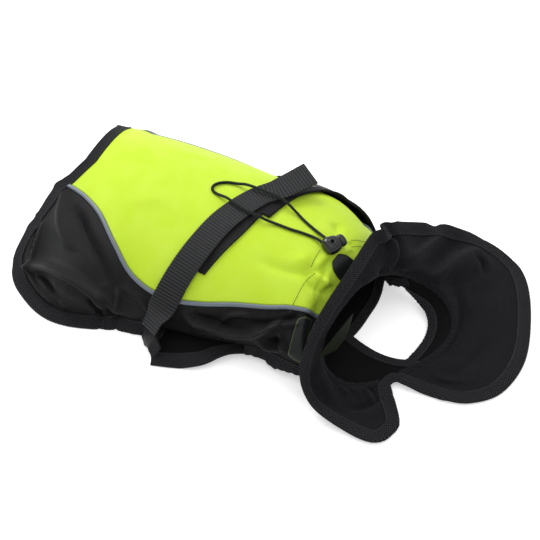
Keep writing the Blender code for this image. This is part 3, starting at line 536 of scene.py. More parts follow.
def strapLine(place):
    # Middle, sideways direction and facing of the strap: place 0 is its near end
    lines = np.array(strapForm["over"])
    over = aboveBack(lines[:, 0], lines[:, 1], lines[:, 2])
    near, far = np.array(strapForm["nearEnd"], float), np.array(strapForm["farEnd"], float)
    rows = np.vstack([near[:, 0], over, far[:, 0]])
    faces = np.vstack([near[:, 1], facing(smoothBack, lines[:, 0], lines[:, 1]), far[:, 1]])
    step = 0.02
    along = unit(spline(rows, place + step) - spline(rows, place - step))
    side = unit(np.cross(unit(spline(faces, place)), along))
    return spline(rows, place), side, unit(np.cross(along, side))


strapPlaces = len(strapForm["nearEnd"]) + len(strapForm["over"]) + len(strapForm["farEnd"]) - 1


def bandTable():
    # Rear edge, front edge and bulge of every row, from the tip under the strap
    middle, side, up = strapLine(np.array(bandForm["tip"]))
    side = side * np.sign(side[:, :1])
    middle = middle - bandForm["underStrap"] * up
    half = bandForm["tipWidth"] / 2
    rows = [np.hstack([middle - half * side, middle + half * side, 0 * side])]
    rows += [np.array(row, float).reshape(1, 9) for row in bandForm["rows"]]
    for edges in bandForm["strip"]:
        u, v, height = np.array(edges).T
        rows.append(np.append(aboveBack(u, v, height).ravel(), (0, 0, 0))[None])
    return np.vstack(rows)


bandRows = bandTable()
bandEnd = len(bandRows) - 1


def band(r, s):
    # r runs along the rows and s from the rear edge (0) to the front edge (1), with a parabola as bulge
    r, s = together(r, s)
    at = spline(bandRows, r)
    s = s.reshape(-1, 1)
    points = (1 - s) * at[:, 0:3] + s * at[:, 3:6] + 4 * s * (1 - s) * at[:, 6:9]
    points[:, 2] = np.maximum(points[:, 2], coat["cloth"] / 2)
    return points.reshape(r.shape + (3,))


def patchBetween(start, end, first, last):
    # Coons patch: the sum of the two ruled surfaces between opposite edges, less the one between the corners
    def surface(w, s):
        w, s = together(w, s)
        a = w[..., None]
        b = s[..., None]
        corners = (1 - a) * ((1 - b) * first(0.0 * w) + b * last(0.0 * w))
        corners = corners + a * ((1 - b) * first(0.0 * w + 1) + b * last(0.0 * w + 1))
        return (1 - a) * start(s) + a * end(s) + (1 - b) * first(w) + b * last(w) - corners

    return surface


def chestNeck(w):
    t = chestForm["neckNear"] + (-1 - chestForm["neckNear"]) * np.clip(2 * w, 0, 1)
    tFar = 1 + (chestForm["neckFar"] - 1) * np.clip(2 * w - 1, 0, 1)
    point = np.where((w < 0.5)[..., None], neckSeam(t), neckSeam(tFar))
    point[..., 2] = 1.0 + 1.4 * w
    return point


def chestBand(w):
    r = chestForm["bandNear"] + (chestForm["bandFar"] - chestForm["bandNear"]) * w
    point = band(r, 1.0 + 0.0 * w)
    point[..., 0] += coat["seam"] + 0.6
    return point


def chestSide(w, bow, lean):
    def side(s):
        s = np.asarray(s, float)
        ends = (chestNeck(w + 0.0 * s), chestBand(w + 0.0 * s))
        b = s[..., None]
        swell = 4 * b * (1 - b) * (1 + lean * (0.6875 - 1.6875 * b))
        return (1 - b) * ends[0] + b * ends[1] + swell * np.array(bow, float)

    return side


nearSide = chestSide(0.0, chestForm["nearBow"], chestForm["nearLean"])
farSide = chestSide(1.0, chestForm["farBow"], chestForm["farLean"])
chest = patchBetween(nearSide, farSide, chestNeck, chestBand)


def throatSeam(w):
    return neckSeam(throatForm["farSeam"] + (chestForm["neckFar"] - 0.012 - throatForm["farSeam"]) * w)


def throatEdge(w):
    w = np.asarray(w, float)
    return spline(throatForm["edge"], w * (len(throatForm["edge"]) - 1)).reshape(w.shape + (3,))


def throatStart(s):
    s = np.asarray(s, float)
    return smoothBack(lastSection - s, 1.0 + 0.0 * s) + throatForm["gap"]


def throatEnd(s):
    b = np.asarray(s, float)[..., None]
    one = 0.0 * np.asarray(s, float) + 1
    return (1 - b) * throatSeam(one) + b * throatEdge(one)


throat = patchBetween(throatStart, throatEnd, throatSeam, throatEdge)


# Lines and meshes


def runAlong(points):
    # Distance along a line of points
    steps = np.linalg.norm(np.diff(points, axis=0), axis=-1)
    return np.concatenate([0 * steps[:1], np.cumsum(steps, axis=0)])


def resample(at, run, line):
    # The line's values at distances along its run
    return np.column_stack([np.interp(at, run, column) for column in line.T])


def evenPath(surface, u, v, spacing):
    # The same path over the surface, at places a fixed distance apart
    run = runAlong(surface(u, v))
    place = np.linspace(0, run[-1], max(int(round(run[-1] / spacing)), 2) + 1)
    return np.interp(place, run, u), np.interp(place, run, v)


def tubeRings(middle, side, up, wide, high, around):
    # An oval round each point: the cosine of the turn along side and its sine along up
    turn = np.linspace(0, 2 * np.pi, around + 1)[:-1]
    across = (np.cos(turn) * wide + 0.0 * middle[:, :1])[..., None] * side[:, None]
    return middle[:, None] + across + (np.sin(turn) * high + 0.0 * middle[:, :1])[..., None] * up[:, None]


def betweenCorners(corners, a, b):
    # Sum of the four corners, each by its share of the two places
    first, second, third, fourth = (np.array(corner, float) for corner in corners)
    x, y = a[..., None], b[..., None]
    return (1 - y) * ((1 - x) * first + x * second) + y * ((1 - x) * third + x * fourth)


def meshPiece(name, points, faces, finishOf, cloth, finishes, node=None):
    # One mesh at the origin: points in table millimetres, faces as arrays of indices with one finish each,
    # and the cloth's own lengths at each point as its UV map. It rides on the only body, takes the finishes
    # it is given and stands for the node, where it has one
    mesh = bpy.data.meshes.new(name)
    places = (points - np.array(coat["middle"])) * coat["metre"]
    mesh.vertices.add(len(points))
    mesh.vertices.foreach_set("co", places.ravel())
    loops = np.concatenate([face.ravel() for face in faces])
    sizes = np.concatenate([np.full(len(face), face.shape[1]) for face in faces])
    mesh.loops.add(len(loops))
    mesh.loops.foreach_set("vertex_index", loops)
    mesh.polygons.add(len(sizes))
    mesh.polygons.foreach_set("loop_start", np.cumsum(sizes) - sizes)
    finishOfFace = np.concatenate([np.full(len(face), index) for face, index in zip(faces, finishOf)])
    mesh.polygons.foreach_set("material_index", finishOfFace)
    mesh.update(calc_edges=True)
    layer = mesh.uv_layers.new(name="cloth")
    layer.data.foreach_set("uv", cloth[loops].ravel())
    mesh.shade_smooth()
    for finish in finishes:
        mesh.materials.append(finish)
    piece = bpy.data.objects.new(name, mesh)
    bpy.context.collection.objects.link(piece)
    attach(piece, "root")
    if node:
        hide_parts(node)
    return piece


def gridQuads(rows, columns, start=0):
    i, j = np.meshgrid(np.arange(rows - 1), np.arange(columns - 1), indexing="ij")
    a = (start + i * columns + j).ravel()
    b = a + columns
    return np.column_stack([a, b, b + 1, a + 1])


def clothPiece(name, points, thickness, finishes, node=None):
    # A grid of points given its thickness along the cross product of its two directions, closed by a rim.
    # The finishes are those of its upper face, its lower face and its rim
    along = np.gradient(points, axis=0)
    across = np.gradient(points, axis=1)
    away = unit(np.cross(along, across))
    rows, columns = points.shape[:2]
    count = rows * columns
    top = (points + away * thickness / 2).reshape(-1, 3)
    bottom = (points - away * thickness / 2).reshape(-1, 3)
    index = np.arange(count).reshape(rows, columns)
    rim = np.concatenate([index[:-1, 0], index[-1, :-1], index[:0:-1, -1], index[0, :0:-1]])
    after = np.roll(rim, -1)
    faces = [gridQuads(rows, columns), gridQuads(rows, columns, count)[:, ::-1]]
    faces.append(np.column_stack([after, rim, rim + count, after + count]))
    lengthAlong = runAlong(points)
    lengthAcross = np.swapaxes(runAlong(np.swapaxes(points, 0, 1)), 0, 1)
    lengthAlong = lengthAlong - lengthAlong[rows // 2]
    lengthAcross = lengthAcross - lengthAcross[:, columns // 2 : columns // 2 + 1]
    cloth = np.stack([lengthAlong, lengthAcross], axis=-1).reshape(-1, 2)
    inner, edge = min(1, len(finishes) - 1), len(finishes) - 1
    points, cloth = np.vstack([top, bottom]), np.vstack([cloth, cloth])
    return meshPiece(name, points, faces, (0, inner, edge), cloth, finishes, node)


def carriedPiece(name, rings, finish, node=None):
    # A closed profile carried along a path, as rings of points, with flat ends
    count, around = rings.shape[:2]
    i, j = np.meshgrid(np.arange(count - 1), np.arange(around), indexing="ij")
    a = (i * around + j).ravel()
    b = (i * around + (j + 1) % around).ravel()
    quads = np.column_stack([a, b, b + around, a + around])
    end = np.arange(around)[None]
    faces = [quads, end[:, ::-1], end + (count - 1) * around]
    points = rings.reshape(-1, 3)
    if signedVolume(points, quads) < 0:
        faces = [face[:, ::-1] for face in faces]
    along = np.repeat(runAlong(rings.mean(axis=1))[:, None], around, axis=1)
    girth = np.cumsum(np.linalg.norm(np.diff(rings, axis=1, prepend=rings[:, :1]), axis=-1), axis=1)
    cloth = np.stack([along, girth], axis=-1).reshape(-1, 2)
    return meshPiece(name, points, faces, (0, 0, 0), cloth, [finish], node)


def signedVolume(points, quads):
    # Sum of the tetrahedra from the middle to each half of a quad
    points = points - points.mean(axis=0)
    a, b, c, d = (points[quads[:, k]] for k in range(4))
    return (dot(a, np.cross(b, c)) + dot(a, np.cross(c, d))).sum()


def addSheet(name, points, thickness, finishes, node):
    # Its lengths along its surface, both ways, are worked out and not used
    piece = clothPiece(name, points, thickness, finishes, node)
    along = runAlong(points)[-1].max() * coat["metre"]
    across = runAlong(np.swapaxes(points, 0, 1))[-1].max() * coat["metre"]


# Finishes


def linear(code):
    # sRGB hex to linear
    values = np.array([int(code[k : k + 2], 16) for k in (1, 3, 5)]) / 255
    values = np.where(values <= 0.04045, values / 12.92, ((values + 0.055) / 1.055) ** 2.4)
    return (*values.tolist(), 1.0)


def newFinish(name):
    finish = bpy.data.materials.new(name)
    finish.use_nodes = True
    return finish


def addNode(finish, kind, links, output=0, **settings):
    # A node with its settings; links gives each socket a value or the output that feeds it
    node = finish.node_tree.nodes.new(kind)
    for key, value in settings.items():
        setattr(node, key, value)
    for socket, value in links.items():
        if isinstance(value, bpy.types.NodeSocket):
            finish.node_tree.links.new(value, node.inputs[socket])
        else:
            node.inputs[socket].default_value = value
    return node.outputs[output]


def shade(finish, values, dark, light, tone, relief, depth):
    # Colour between dark and light, and relief, into the shader; uniform values go straight to its sockets
    shader = finish.node_tree.nodes["Principled BSDF"]
    for socket, value in values.items():
        shader.inputs[socket].default_value = value
    colours = {0: tone, 6: linear(dark), 7: linear(light)}
    colour = addNode(finish, "ShaderNodeMix", colours, 2, data_type="RGBA")
    bump = addNode(finish, "ShaderNodeBump", {"Height": relief, "Strength": 1.0, "Distance": depth})
    finish.node_tree.links.new(colour, shader.inputs["Base Color"])
    finish.node_tree.links.new(bump, shader.inputs["Normal"])
    return finish


def threadLines(finish, x, y, pitch, slope=1.0):
    # Sine of the distance across diagonal threads
    rise = addNode(finish, "ShaderNodeMath", {0: y, 1: slope}, operation="MULTIPLY")
    place = addNode(finish, "ShaderNodeMath", {0: x, 1: rise}, operation="ADD")
    turn = addNode(finish, "ShaderNodeMath", {0: place, 1: 2 * np.pi / pitch}, operation="MULTIPLY")
    return addNode(finish, "ShaderNodeMath", {0: turn}, operation="SINE")


def clothPlace(finish):
    # The cloth's own lengths in millimetres, together and one by one
    place = addNode(finish, "ShaderNodeUVMap", {}, uv_map="cloth")
    x, y = (addNode(finish, "ShaderNodeSeparateXYZ", {0: place}, output) for output in (0, 1))
    return place, x, y


# Spacing of the threads in millimetres; the real ones are finer, and these are as coarse as they need to show
threads = {"softshell": 0.9, "webbing": 1.0, "tape": 2.7, "tapeColumn": 6.6}


def softshell(name, dark, light, roughness, sheen, sheenTint, gloss):
    # Woven polyester face on fleece: even, soft sheen along the folds, threads only just visible
    finish = newFinish(name)
    place, x, y = clothPlace(finish)
    cloudy = addNode(finish, "ShaderNodeTexNoise", {"Vector": place, "Scale": 0.03, "Detail": 3.0})
    fine = addNode(finish, "ShaderNodeTexNoise", {"Vector": place, "Scale": 0.8, "Detail": 2.0})
    warp = threadLines(finish, x, y, threads["softshell"], 0.0)
    weft = threadLines(finish, y, x, threads["softshell"], 0.0)
    weave = addNode(finish, "ShaderNodeMath", {0: warp, 1: weft}, operation="MULTIPLY")
    relief = addNode(finish, "ShaderNodeMath", {0: fine, 1: 1.4, 2: weave}, operation="MULTIPLY_ADD")
    patchy = addNode(finish, "ShaderNodeMath", {0: cloudy, 1: fine}, operation="MULTIPLY")
    tone = addNode(finish, "ShaderNodeMapRange", {"Value": patchy, "From Min": 0.1, "From Max": 0.4})
    values = {
        "Roughness": roughness,
        "Sheen Weight": sheen,
        "Sheen Roughness": 0.4,
        "Sheen Tint": linear(sheenTint),
        "Specular IOR Level": gloss,
    }
    return shade(finish, values, dark, light, tone, relief, 0.0001)


def twill(name, dark, light, pitch, sheen, depth=0.00025):
    # Twill weave: matt, with fine diagonal lines
    finish = newFinish(name)
    place, x, y = clothPlace(finish)
    lines = threadLines(finish, x, y, pitch)
    fine = addNode(finish, "ShaderNodeTexNoise", {"Vector": place, "Scale": 0.6, "Detail": 3.0})
    relief = addNode(finish, "ShaderNodeMath", {0: fine, 1: 1.2, 2: lines}, operation="MULTIPLY_ADD")
    tone = addNode(finish, "ShaderNodeMapRange", {"Value": relief, "From Min": -0.6, "From Max": 1.8})
    values = {
        "Roughness": 0.85,
        "Sheen Weight": sheen,
        "Sheen Roughness": 0.5,
        "Sheen Tint": linear("#9a9aa2"),
        "Specular IOR Level": 0.08,
    }
    return shade(finish, values, dark, light, tone, relief, depth)


def herringboneTape(name, dark, light):
    # Cotton herringbone tape: diagonal ribs that turn back at each column. Its colour follows the relief: the
    # weave's pattern, with painted shade in the grooves between the ribs
    finish = newFinish(name)
    place, x, y = clothPlace(finish)
    folded = addNode(finish, "ShaderNodeMath", {0: y, 1: threads["tapeColumn"]}, operation="PINGPONG")
    ribs = threadLines(finish, x, folded, threads["tape"], 1.1)
    fine = addNode(finish, "ShaderNodeTexNoise", {"Vector": place, "Scale": 1.1, "Detail": 2.0})
    relief = addNode(finish, "ShaderNodeMath", {0: fine, 1: 1.0, 2: ribs}, operation="MULTIPLY_ADD")
    # colour from the relief: painted shade, darker in the grooves
    tone = addNode(finish, "ShaderNodeMapRange", {"Value": relief, "From Min": -0.5, "From Max": 1.5})
    values = {
        "Roughness": 0.8,
        "Sheen Weight": 0.08,
        "Sheen Roughness": 0.5,
        "Sheen Tint": linear("#9a9ba0"),
        "Specular IOR Level": 0.12,
    }
    return shade(finish, values, dark, light, tone, relief, 0.0014)


def plainFinish(name, dark, light, scale, depth, values):
    # An even finish with slight mottling and grain
    finish = newFinish(name)
    place = addNode(finish, "ShaderNodeUVMap", {}, uv_map="cloth")
    grain = addNode(finish, "ShaderNodeTexNoise", {"Vector": place, "Scale": scale, "Detail": 3.0})
    return shade(finish, values, dark, light, grain, grain, depth)


def webbingWithRibShade(name, dark, light):
    # Ribbed polyester webbing: fine threads along the strap, and painted shade between the ribs, where its
    # colour darkens
    finish = newFinish(name)
    place, x, y = clothPlace(finish)
    fibres = threadLines(finish, y, x, threads["webbing"], 0.0)
    ribs = threadLines(finish, x, y, strapForm["rib"], 0.0)
    fine = addNode(finish, "ShaderNodeTexNoise", {"Vector": place, "Scale": 1.2, "Detail": 2.0})
    relief = addNode(finish, "ShaderNodeMath", {0: fine, 1: 1.0, 2: fibres}, operation="MULTIPLY_ADD")
    # colour from the ribs' wave: painted shade, darker where the ribs dip
    tone = addNode(finish, "ShaderNodeMapRange", {"Value": ribs, "From Min": -1.0, "From Max": 1.0})
    values = {
        "Roughness": 0.7,
        "Sheen Weight": 0.15,
        "Sheen Tint": linear("#909296"),
        "Specular IOR Level": 0.3,
    }
    return shade(finish, values, dark, light, tone, relief, 0.0002)


# the saddle's fluorescent softshell, the charcoal softshell and the fleece behind both
neonSoftshell = softshell("neonSoftshell", "#BCDC24", "#C6E444", 0.55, 0.05, "#F0FFA0", 0.2)
darkSoftshell = softshell("darkSoftshell", "#0D0D0E", "#141416", 0.35, 0.04, "#9A9CAC", 0.15)
lining = softshell("fleeceLining", "#0B0B0C", "#121214", 0.9, 0.05, "#70727c", 0.1)
collarTwill = twill("collarTwill", "#0D0D0E", "#212124", 1.7, 0.12)
# its near-black end is painted shade in the grooves between the ribs
bindingTape = herringboneTape("bindingTape", "#010101", "#3C3C40")
# its dark end is painted shade between the ribs
ribbedWebbing = webbingWithRibShade("ribbedWebbing", "#060607", "#313234")
# polyester braid: its strands read as short diagonals
braidedCord = twill("braidedCord", "#0B0F0B", "#343C34", 2.4, 0.2, 0.0004)
# glass-beaded tape: even grey, a little bright
reflectivePiping = plainFinish(
    "reflectivePiping", "#59616A", "#737B85", 0.5, 0.00008,
    {"Roughness": 0.45, "Metallic": 0.1, "Specular IOR Level": 0.4},
)
# moulded acetal: smooth, with small soft highlights
mouldedAcetal = plainFinish(
    "mouldedAcetal", "#141517", "#1B1C1E", 0.3, 0.00004,
    {"Roughness": 0.25, "Specular IOR Level": 0.42, "Coat Weight": 0.12},
)
# polyurethane-coated cloth: smooth and half matt
coatedPatch = plainFinish(
    "coatedPatch", "#0F1111", "#181C1A", 0.4, 0.00006,
    {"Roughness": 0.36, "Specular IOR Level": 0.25, "Sheen Weight": 0.05},
)
oliveCoating = plainFinish(
    "oliveCoating", "#11160C", "#1B2214", 0.3, 0.0001,
    {"Roughness": 0.5, "Specular IOR Level": 0.12, "Sheen Weight": 0.02},
)
greenRim = plainFinish(
    "greenRim", "#33401f", "#41502a", 0.5, 0.0001, {"Roughness": 0.5, "Specular IOR Level": 0.4}
)
# near black: painted shade for the inside of the toggle's cord hole
paintedHoleShade = plainFinish(
    "paintedHoleShade", "#030303", "#050505", 1.0, 0.0001, {"Roughness": 0.9, "Specular IOR Level": 0.1}
)
# spun polyester sewing thread
blackThread = plainFinish(
    "blackThread", "#17181a", "#232427", 1.0, 0.0001, {"Roughness": 0.7, "Sheen Weight": 0.1}
)
oliveThread = plainFinish(
    "oliveThread", "#2e3a12", "#46521c", 1.0, 0.0001, {"Roughness": 0.7, "Sheen Weight": 0.2}
)
print("finishes made")

# Camera, light and floor

stage = {
    "lens": 100.8,
    "sensor": 36.0,
    "aim": (-0.0053, -0.0042, 0.030),
    "distance": 1.6,
    "azimuth": 26.0,
    "elevation": 48.0,
    "floor": 8.0,
    "floorGlow": 0.4,
    "low": 0.35,  # strength of the room's light from the horizon, and from straight above
    "high": 1.2,
    # place, size, power
    "lights": {"keyLight": ((-0.95, 0.55, 0.95), 0.8, 13.0), "topLight": ((0.4, 0.2, 1.7), 1.6, 2.0)},
    "lightAim": (0.0, 0.0, 0.05),
}


def addCamera():
    azimuth, elevation = np.radians(stage["azimuth"]), np.radians(stage["elevation"])
    level = np.cos(elevation)
    towards = np.array((np.sin(azimuth) * level, -np.cos(azimuth) * level, np.sin(elevation)))
    data = bpy.data.cameras.new("photoCamera")
    data.lens = stage["lens"]
    data.sensor_width = stage["sensor"]
    camera = bpy.data.objects.new("photoCamera", data)
    camera.location = np.array(stage["aim"]) + stage["distance"] * towards
    camera.rotation_euler = (np.pi / 2 - elevation, 0.0, azimuth)
    bpy.context.collection.objects.link(camera)
    bpy.context.scene.camera = camera


def addLight(name, place, size, power):
    data = bpy.data.lights.new(name, "AREA")
    data.shape = "DISK"
    data.size = size
    data.energy = power
    light = bpy.data.objects.new(name, data)
    light.location = place
    towards = np.array(place) - np.array(stage["lightAim"])
    level = np.hypot(towards[0], towards[1])
    light.rotation_euler = (np.arctan2(level, towards[2]), 0.0, np.arctan2(towards[0], -towards[1]))
    bpy.context.collection.objects.link(light)


def addFloor():
    half = stage["floor"] / 2
    corners = [(-half, -half, 0), (half, -half, 0), (half, half, 0), (-half, half, 0)]
    mesh = bpy.data.meshes.new("paleFloor")
    mesh.from_pydata(corners, [], [(0, 1, 2, 3)])
    floor = bpy.data.objects.new("paleFloor", mesh)
    finish = newFinish("paleFloorPaint")
    shader = finish.node_tree.nodes["Principled BSDF"]
    shader.inputs["Base Color"].default_value = (0.93, 0.93, 0.93, 1.0)
    shader.inputs["Roughness"].default_value = 0.9
    shader.inputs["Emission Color"].default_value = (1.0, 1.0, 1.0, 1.0)
    shader.inputs["Emission Strength"].default_value = stage["floorGlow"]
    mesh.materials.append(finish)
    bpy.context.collection.objects.link(floor)


def addRoom():
    # A white room whose light grows with the height of the direction that it comes from
    room = bpy.data.worlds.new("softRoom")
    room.use_nodes = True
    walls = room.node_tree.nodes["Background"]
    walls.inputs["Color"].default_value = (1.0, 1.0, 1.0, 1.0)
    direction = addNode(room, "ShaderNodeTexCoord", {})
    height = addNode(room, "ShaderNodeSeparateXYZ", {0: direction}, 2)
    ends = {"From Min": 0.0, "From Max": 1.0, "To Min": stage["low"], "To Max": stage["high"]}
    strength = addNode(room, "ShaderNodeMapRange", {"Value": height} | ends)
    room.node_tree.links.new(strength, walls.inputs["Strength"])
    bpy.context.scene.world = room


addCamera()
addRoom()
bpy.context.scene.view_settings.view_transform = "Standard"
for name, (place, size, power) in stage["lights"].items():
    addLight(name, place, size, power)
addFloor()
print("stage set")


stitchForm = {"pitch": 2.8, "length": 2.4, "radius": 0.36, "endThick": 0.25, "sunk": 0.25, "around": 6}


def addStitches(name, line, up, finish):
    # One mesh of short bars, thin and sunk at both ends, evenly spaced along a line
    form = stitchForm
    run = runAlong(line)
    at = np.arange(form["pitch"] / 2, run[-1] - form["pitch"] / 2, form["pitch"])
    middle = resample(at, run, line)
    along = unit(resample(at, run, np.gradient(line, axis=0)))
    up = unit(resample(at, run, up))
    side = unit(np.cross(along, up))
    rings = []
    for place, thick in ((-1.0, form["endThick"]), (-0.55, 1.0), (0.55, 1.0), (1.0, form["endThick"])):
        centre = middle + along * place * form["length"] / 2 - up * form["sunk"] * (1 - thick)
        radius = thick * form["radius"]
        rings.append(tubeRings(centre, side, up, radius, radius, form["around"]))
    points = np.stack(rings, axis=1).reshape(-1, 3)
    around = np.arange(form["around"])
    first = np.arange(len(at))[:, None, None] * len(rings) * len(around)
    ring = np.arange(len(rings) - 1)[:, None] * len(around)
    a = (first + ring + around).ravel()
    b = (first + ring + np.roll(around, -1)).ravel()
    quads = np.column_stack([a, a + len(around), b + len(around), b])
    caps = [first[:, 0] + around, first[:, 0] + len(ring) * len(around) + around[::-1]]
    meshPiece(name, points, [quads] + caps, (0, 0, 0), points[:, :2], [finish])


# The drawstring, first because its length is fixed


def addDrawstring():
    # A round profile carried along the route; its radius swells where two strands of the braid cross
    form = drawstringForm
    route = np.array(form["loop"])
    at = spline(route, np.linspace(0, len(route) - 1, 1600))
    line = aboveBack(at[:, 0], at[:, 1], at[:, 2])
    run = runAlong(line)
    place = np.arange(0, run[-1], form["spacing"])
    middle = resample(place, run, line)
    along = unit(np.gradient(middle, axis=0))
    side = unit(np.cross(along, (0.0, 0.0, 1.0)))
    up = np.cross(side, along)
    turn = np.linspace(0, 2 * np.pi, form["around"] + 1)[:-1]
    phase = 2 * np.pi * place[:, None] / form["braid"]
    swell = form["swell"] * np.cos(3 * turn + phase) * np.cos(3 * turn - phase)
    radius = form["diameter"] / 2 * (1.0 + swell)
    rings = tubeRings(middle, side, up, radius, radius, form["around"])
    piece = carriedPiece("drawstringBraid", rings, braidedCord, "drawstring")
    path = (np.vstack([middle[::8], middle[-1:]]) - np.array(coat["middle"])) * coat["metre"]
    path = [tuple(point) for point in path.tolist()]


addDrawstring()
print("drawstring laid")

# The back and its two sides


def roundedStart(v):
    # Quarter ellipse at each tail corner
    start = backFit["tailCornerStart"]
    past = np.clip((np.abs(v) - start) / (1 - start), 0, 1)
    return backFit["tailCorner"] * (1 - np.sqrt(1 - past**2))


pipingForm = {
    "width": 3.8,
    "overhang": 0.35,
    "height": 2.0,
    "clear": 0.12,  # over the cloth
    "play": 0.05,  # of the flange in the seam
}


def pipingPlace(u, side):
    line = backFit["pipingNear"] if side < 0 else backFit["pipingFar"]
    return side * spline(np.array(line)[:, None], 2 * np.asarray(u, float)).reshape(np.shape(u))


def besidePiping(u, side, offset):
    # The place v at a distance from the piping: the distance over the length of a small step in v
    v = pipingPlace(u, side)
    step = 0.004
    before, after = u - step, u + step
    along = smoothBack(after, pipingPlace(after, side)) - smoothBack(before, pipingPlace(before, side))
    across = smoothBack(u, v + step) - smoothBack(u, v - step)
    square = unit(np.cross(unit(along), facing(smoothBack, u, v)))
    return v + offset * 2 * step / np.abs(dot(across, square))


def panelPlaces(name, rows, columns):
    edge = pipingForm["width"] / 2 + coat["seam"]
    share = np.linspace(0, 1, rows)[:, None]
    across = np.linspace(0, 1, columns)[None, :]
    u = lastSection * share + 0.0 * across
    if name == "back":
        near = besidePiping(u, -1, edge)
        far = besidePiping(u, 1, -edge)
        return u, near + (far - near) * across
    side = -1 if name == "near" else 1
    # the rounded corner and the place beside the piping depend on each other, and a few rounds settle both
    for _ in range(6):
        v = besidePiping(u, side, side * edge)
        v = v + (side - v) * across
        u = roundedStart(v) + (lastSection - roundedStart(v)) * share
    return u, v


# each side's grid rows and columns, outer finish, slot and node
panelForm = {
    "back": (280, 120, neonSoftshell, "yellow_softshell", "back_panel"),
    "near": (320, 90, darkSoftshell, "dark_softshell", "side_panel_near"),
    "far": (200, 50, darkSoftshell, "dark_softshell", "side_panel_far"),
}


def addPanels():
    for name, (rows, columns, outer, slot, node) in panelForm.items():
        u, v = panelPlaces(name, rows, columns)
        points = back(u, v)
        if name == "near":
            points = points[:, ::-1]  # its columns run the other way, and its face is outside
        addSheet(name + "Panel", points, coat["cloth"], [outer, lining], node)


addPanels()
print("panels sewn")


def addPiping():
    # A rounded bead whose flange fills the seam and whose edges cover it
    form = pipingForm
    half = form["width"] / 2
    wide = half + form["overhang"]
    top = coat["cloth"] / 2
    low, high = top + form["clear"], top + form["height"]
    # across, height
    bead = [(wide, low), (wide - 0.1, top + 0.8), (0.72 * wide, high - 0.45), (0.36 * wide, high - 0.08)]
    flange = [(half - form["play"], low), (half - form["play"], -top)]
    profile = [(-x, y) for x, y in bead] + bead[::-1] + flange + [(-x, y) for x, y in flange[::-1]]
    u = np.linspace(0, lastSection, 420)
    for name, side in (("near", -1), ("far", 1)):
        lines = [aboveBack(u, besidePiping(u, side, across), height + 0 * u) for across, height in profile]
        rings = np.stack(lines, axis=1)
        carriedPiece(name + "Piping", rings, reflectivePiping, "piping_" + name)


addPiping()
print("piping set in")

# Rows of stitches that close the cord's channel, as places (u, v) on the back
channelForm = (
    ((4.615, -0.545), (4.61, -0.514), (4.67, -0.364), (4.71, -0.289), (4.89, -0.225)),
    ((4.67, -0.214), (4.65, -0.15), (4.65, -0.086)),
    ((5.18, 0.146), (5.53, 0.314)),
    ((5.35, 0.096), (5.69, 0.236)),
)


def addChannelStitches():
    for number, places in enumerate(channelForm):
        u, v = resample(np.linspace(0, len(places) - 1, 80), np.arange(len(places)), np.array(places)).T
        line = aboveBack(u, v, coat["cloth"] / 2 + 0.15 + 0 * u)
        up = facing(smoothBack, u, v)
        addStitches(f"channelStitches{number}", line, up, oliveThread)


addChannelStitches()

# Bindings


def addBinding(name, node, edge, inner, away, cloth, width, floor=0.0, gather=None, flare=(0, 0, 0)):
    # A folded tape: its lips lie on both faces of the cloth, from there it runs out over the edge and back.
    # It never goes below the height of the floor under it, and flare turns its way out
    form = tapeForm
    upright = np.array([0.0, 0.0, 1.0])
    along = unit(np.gradient(edge, axis=0))
    inward = unit(inner - edge)
    out = unit(np.cross(along, away))
    out = out * np.sign(-dot(out, inward))[:, None]
    out = unit(out + np.array(flare))
    flat = unit(np.cross(along, upright))
    flat = flat * np.sign(dot(flat, out) + 1e-6)[:, None]
    lowest = (floor + form["thick"] / 2 - edge[:, 2]) / (width + coat["seam"])
    rise = np.maximum(out[:, 2], np.clip(lowest, -1, 1))
    level = out * (1 - upright)
    share = np.linalg.norm(level, axis=1, keepdims=True)
    level = unit(level + 0.6 * (1 - share) * flat)
    aim = level * np.sqrt(np.maximum(1 - rise**2, 0))[:, None]
    aim = unit(aim + rise[:, None] * upright)
    reach = width + 0.5 * (coat["cloth"] + form["thick"]) * np.abs(dot(aim, cloth))
    across = unit(np.cross(along, aim))
    across = across * np.sign(dot(across, away) + 1e-6)[:, None]
    run = runAlong(edge)
    swing = 0 * run
    if gather:
        pitch, rock, shorten = gather
        swing = rock * np.sin(2 * np.pi * run / pitch + 1.3 * np.sin(run / pitch))
        reach = reach * (1 - shorten * (0.5 + 0.5 * np.cos(2 * np.pi * run / pitch * 1.7)))
    tooth = form["tooth"] * np.sign(np.sin(2 * np.pi * run / form["toothPitch"]))
    under = coat["cloth"] / 2 + form["clear"]
    lip, root = edge + inward * form["lip"], edge - aim * form["root"]
    lipTop = away * (under + form["lipThick"])
    top, bottom = [lip + lipTop], [lip - lipTop]
    for part, half in form["profile"]:
        turn = min(part / form["turned"], 1.0)
        up = unit(away * (1 - turn) + across * turn)
        middle = edge + aim * (reach * part)[:, None] + across * (swing * part**1.5)[:, None]
        top.append(middle + up * half)
        bottom.append(middle - up * half)
    tip = edge + aim * (reach + tooth)[:, None] + across * swing[:, None]
    groove = [lip - away * under, root - away * under, root + away * under, lip + away * under]
    rings = np.stack(top + [tip] + bottom[::-1] + groove, axis=1)
    rings[..., 2] = np.maximum(rings[..., 2], floor + form["floorGap"])
    carriedPiece(name, rings, bindingTape, node)
    inset, above = form["lip"] - form["stitchInset"], under + form["stitchRise"]
    for face, turned in (("Upper", 1.0), ("Lower", -1.0)):
        line = edge + inward * inset + away * turned * above
        if line[:, 2].min() > form["stitchFloor"]:
            addStitches(name + face + "Stitches", line, away * turned, blackThread)


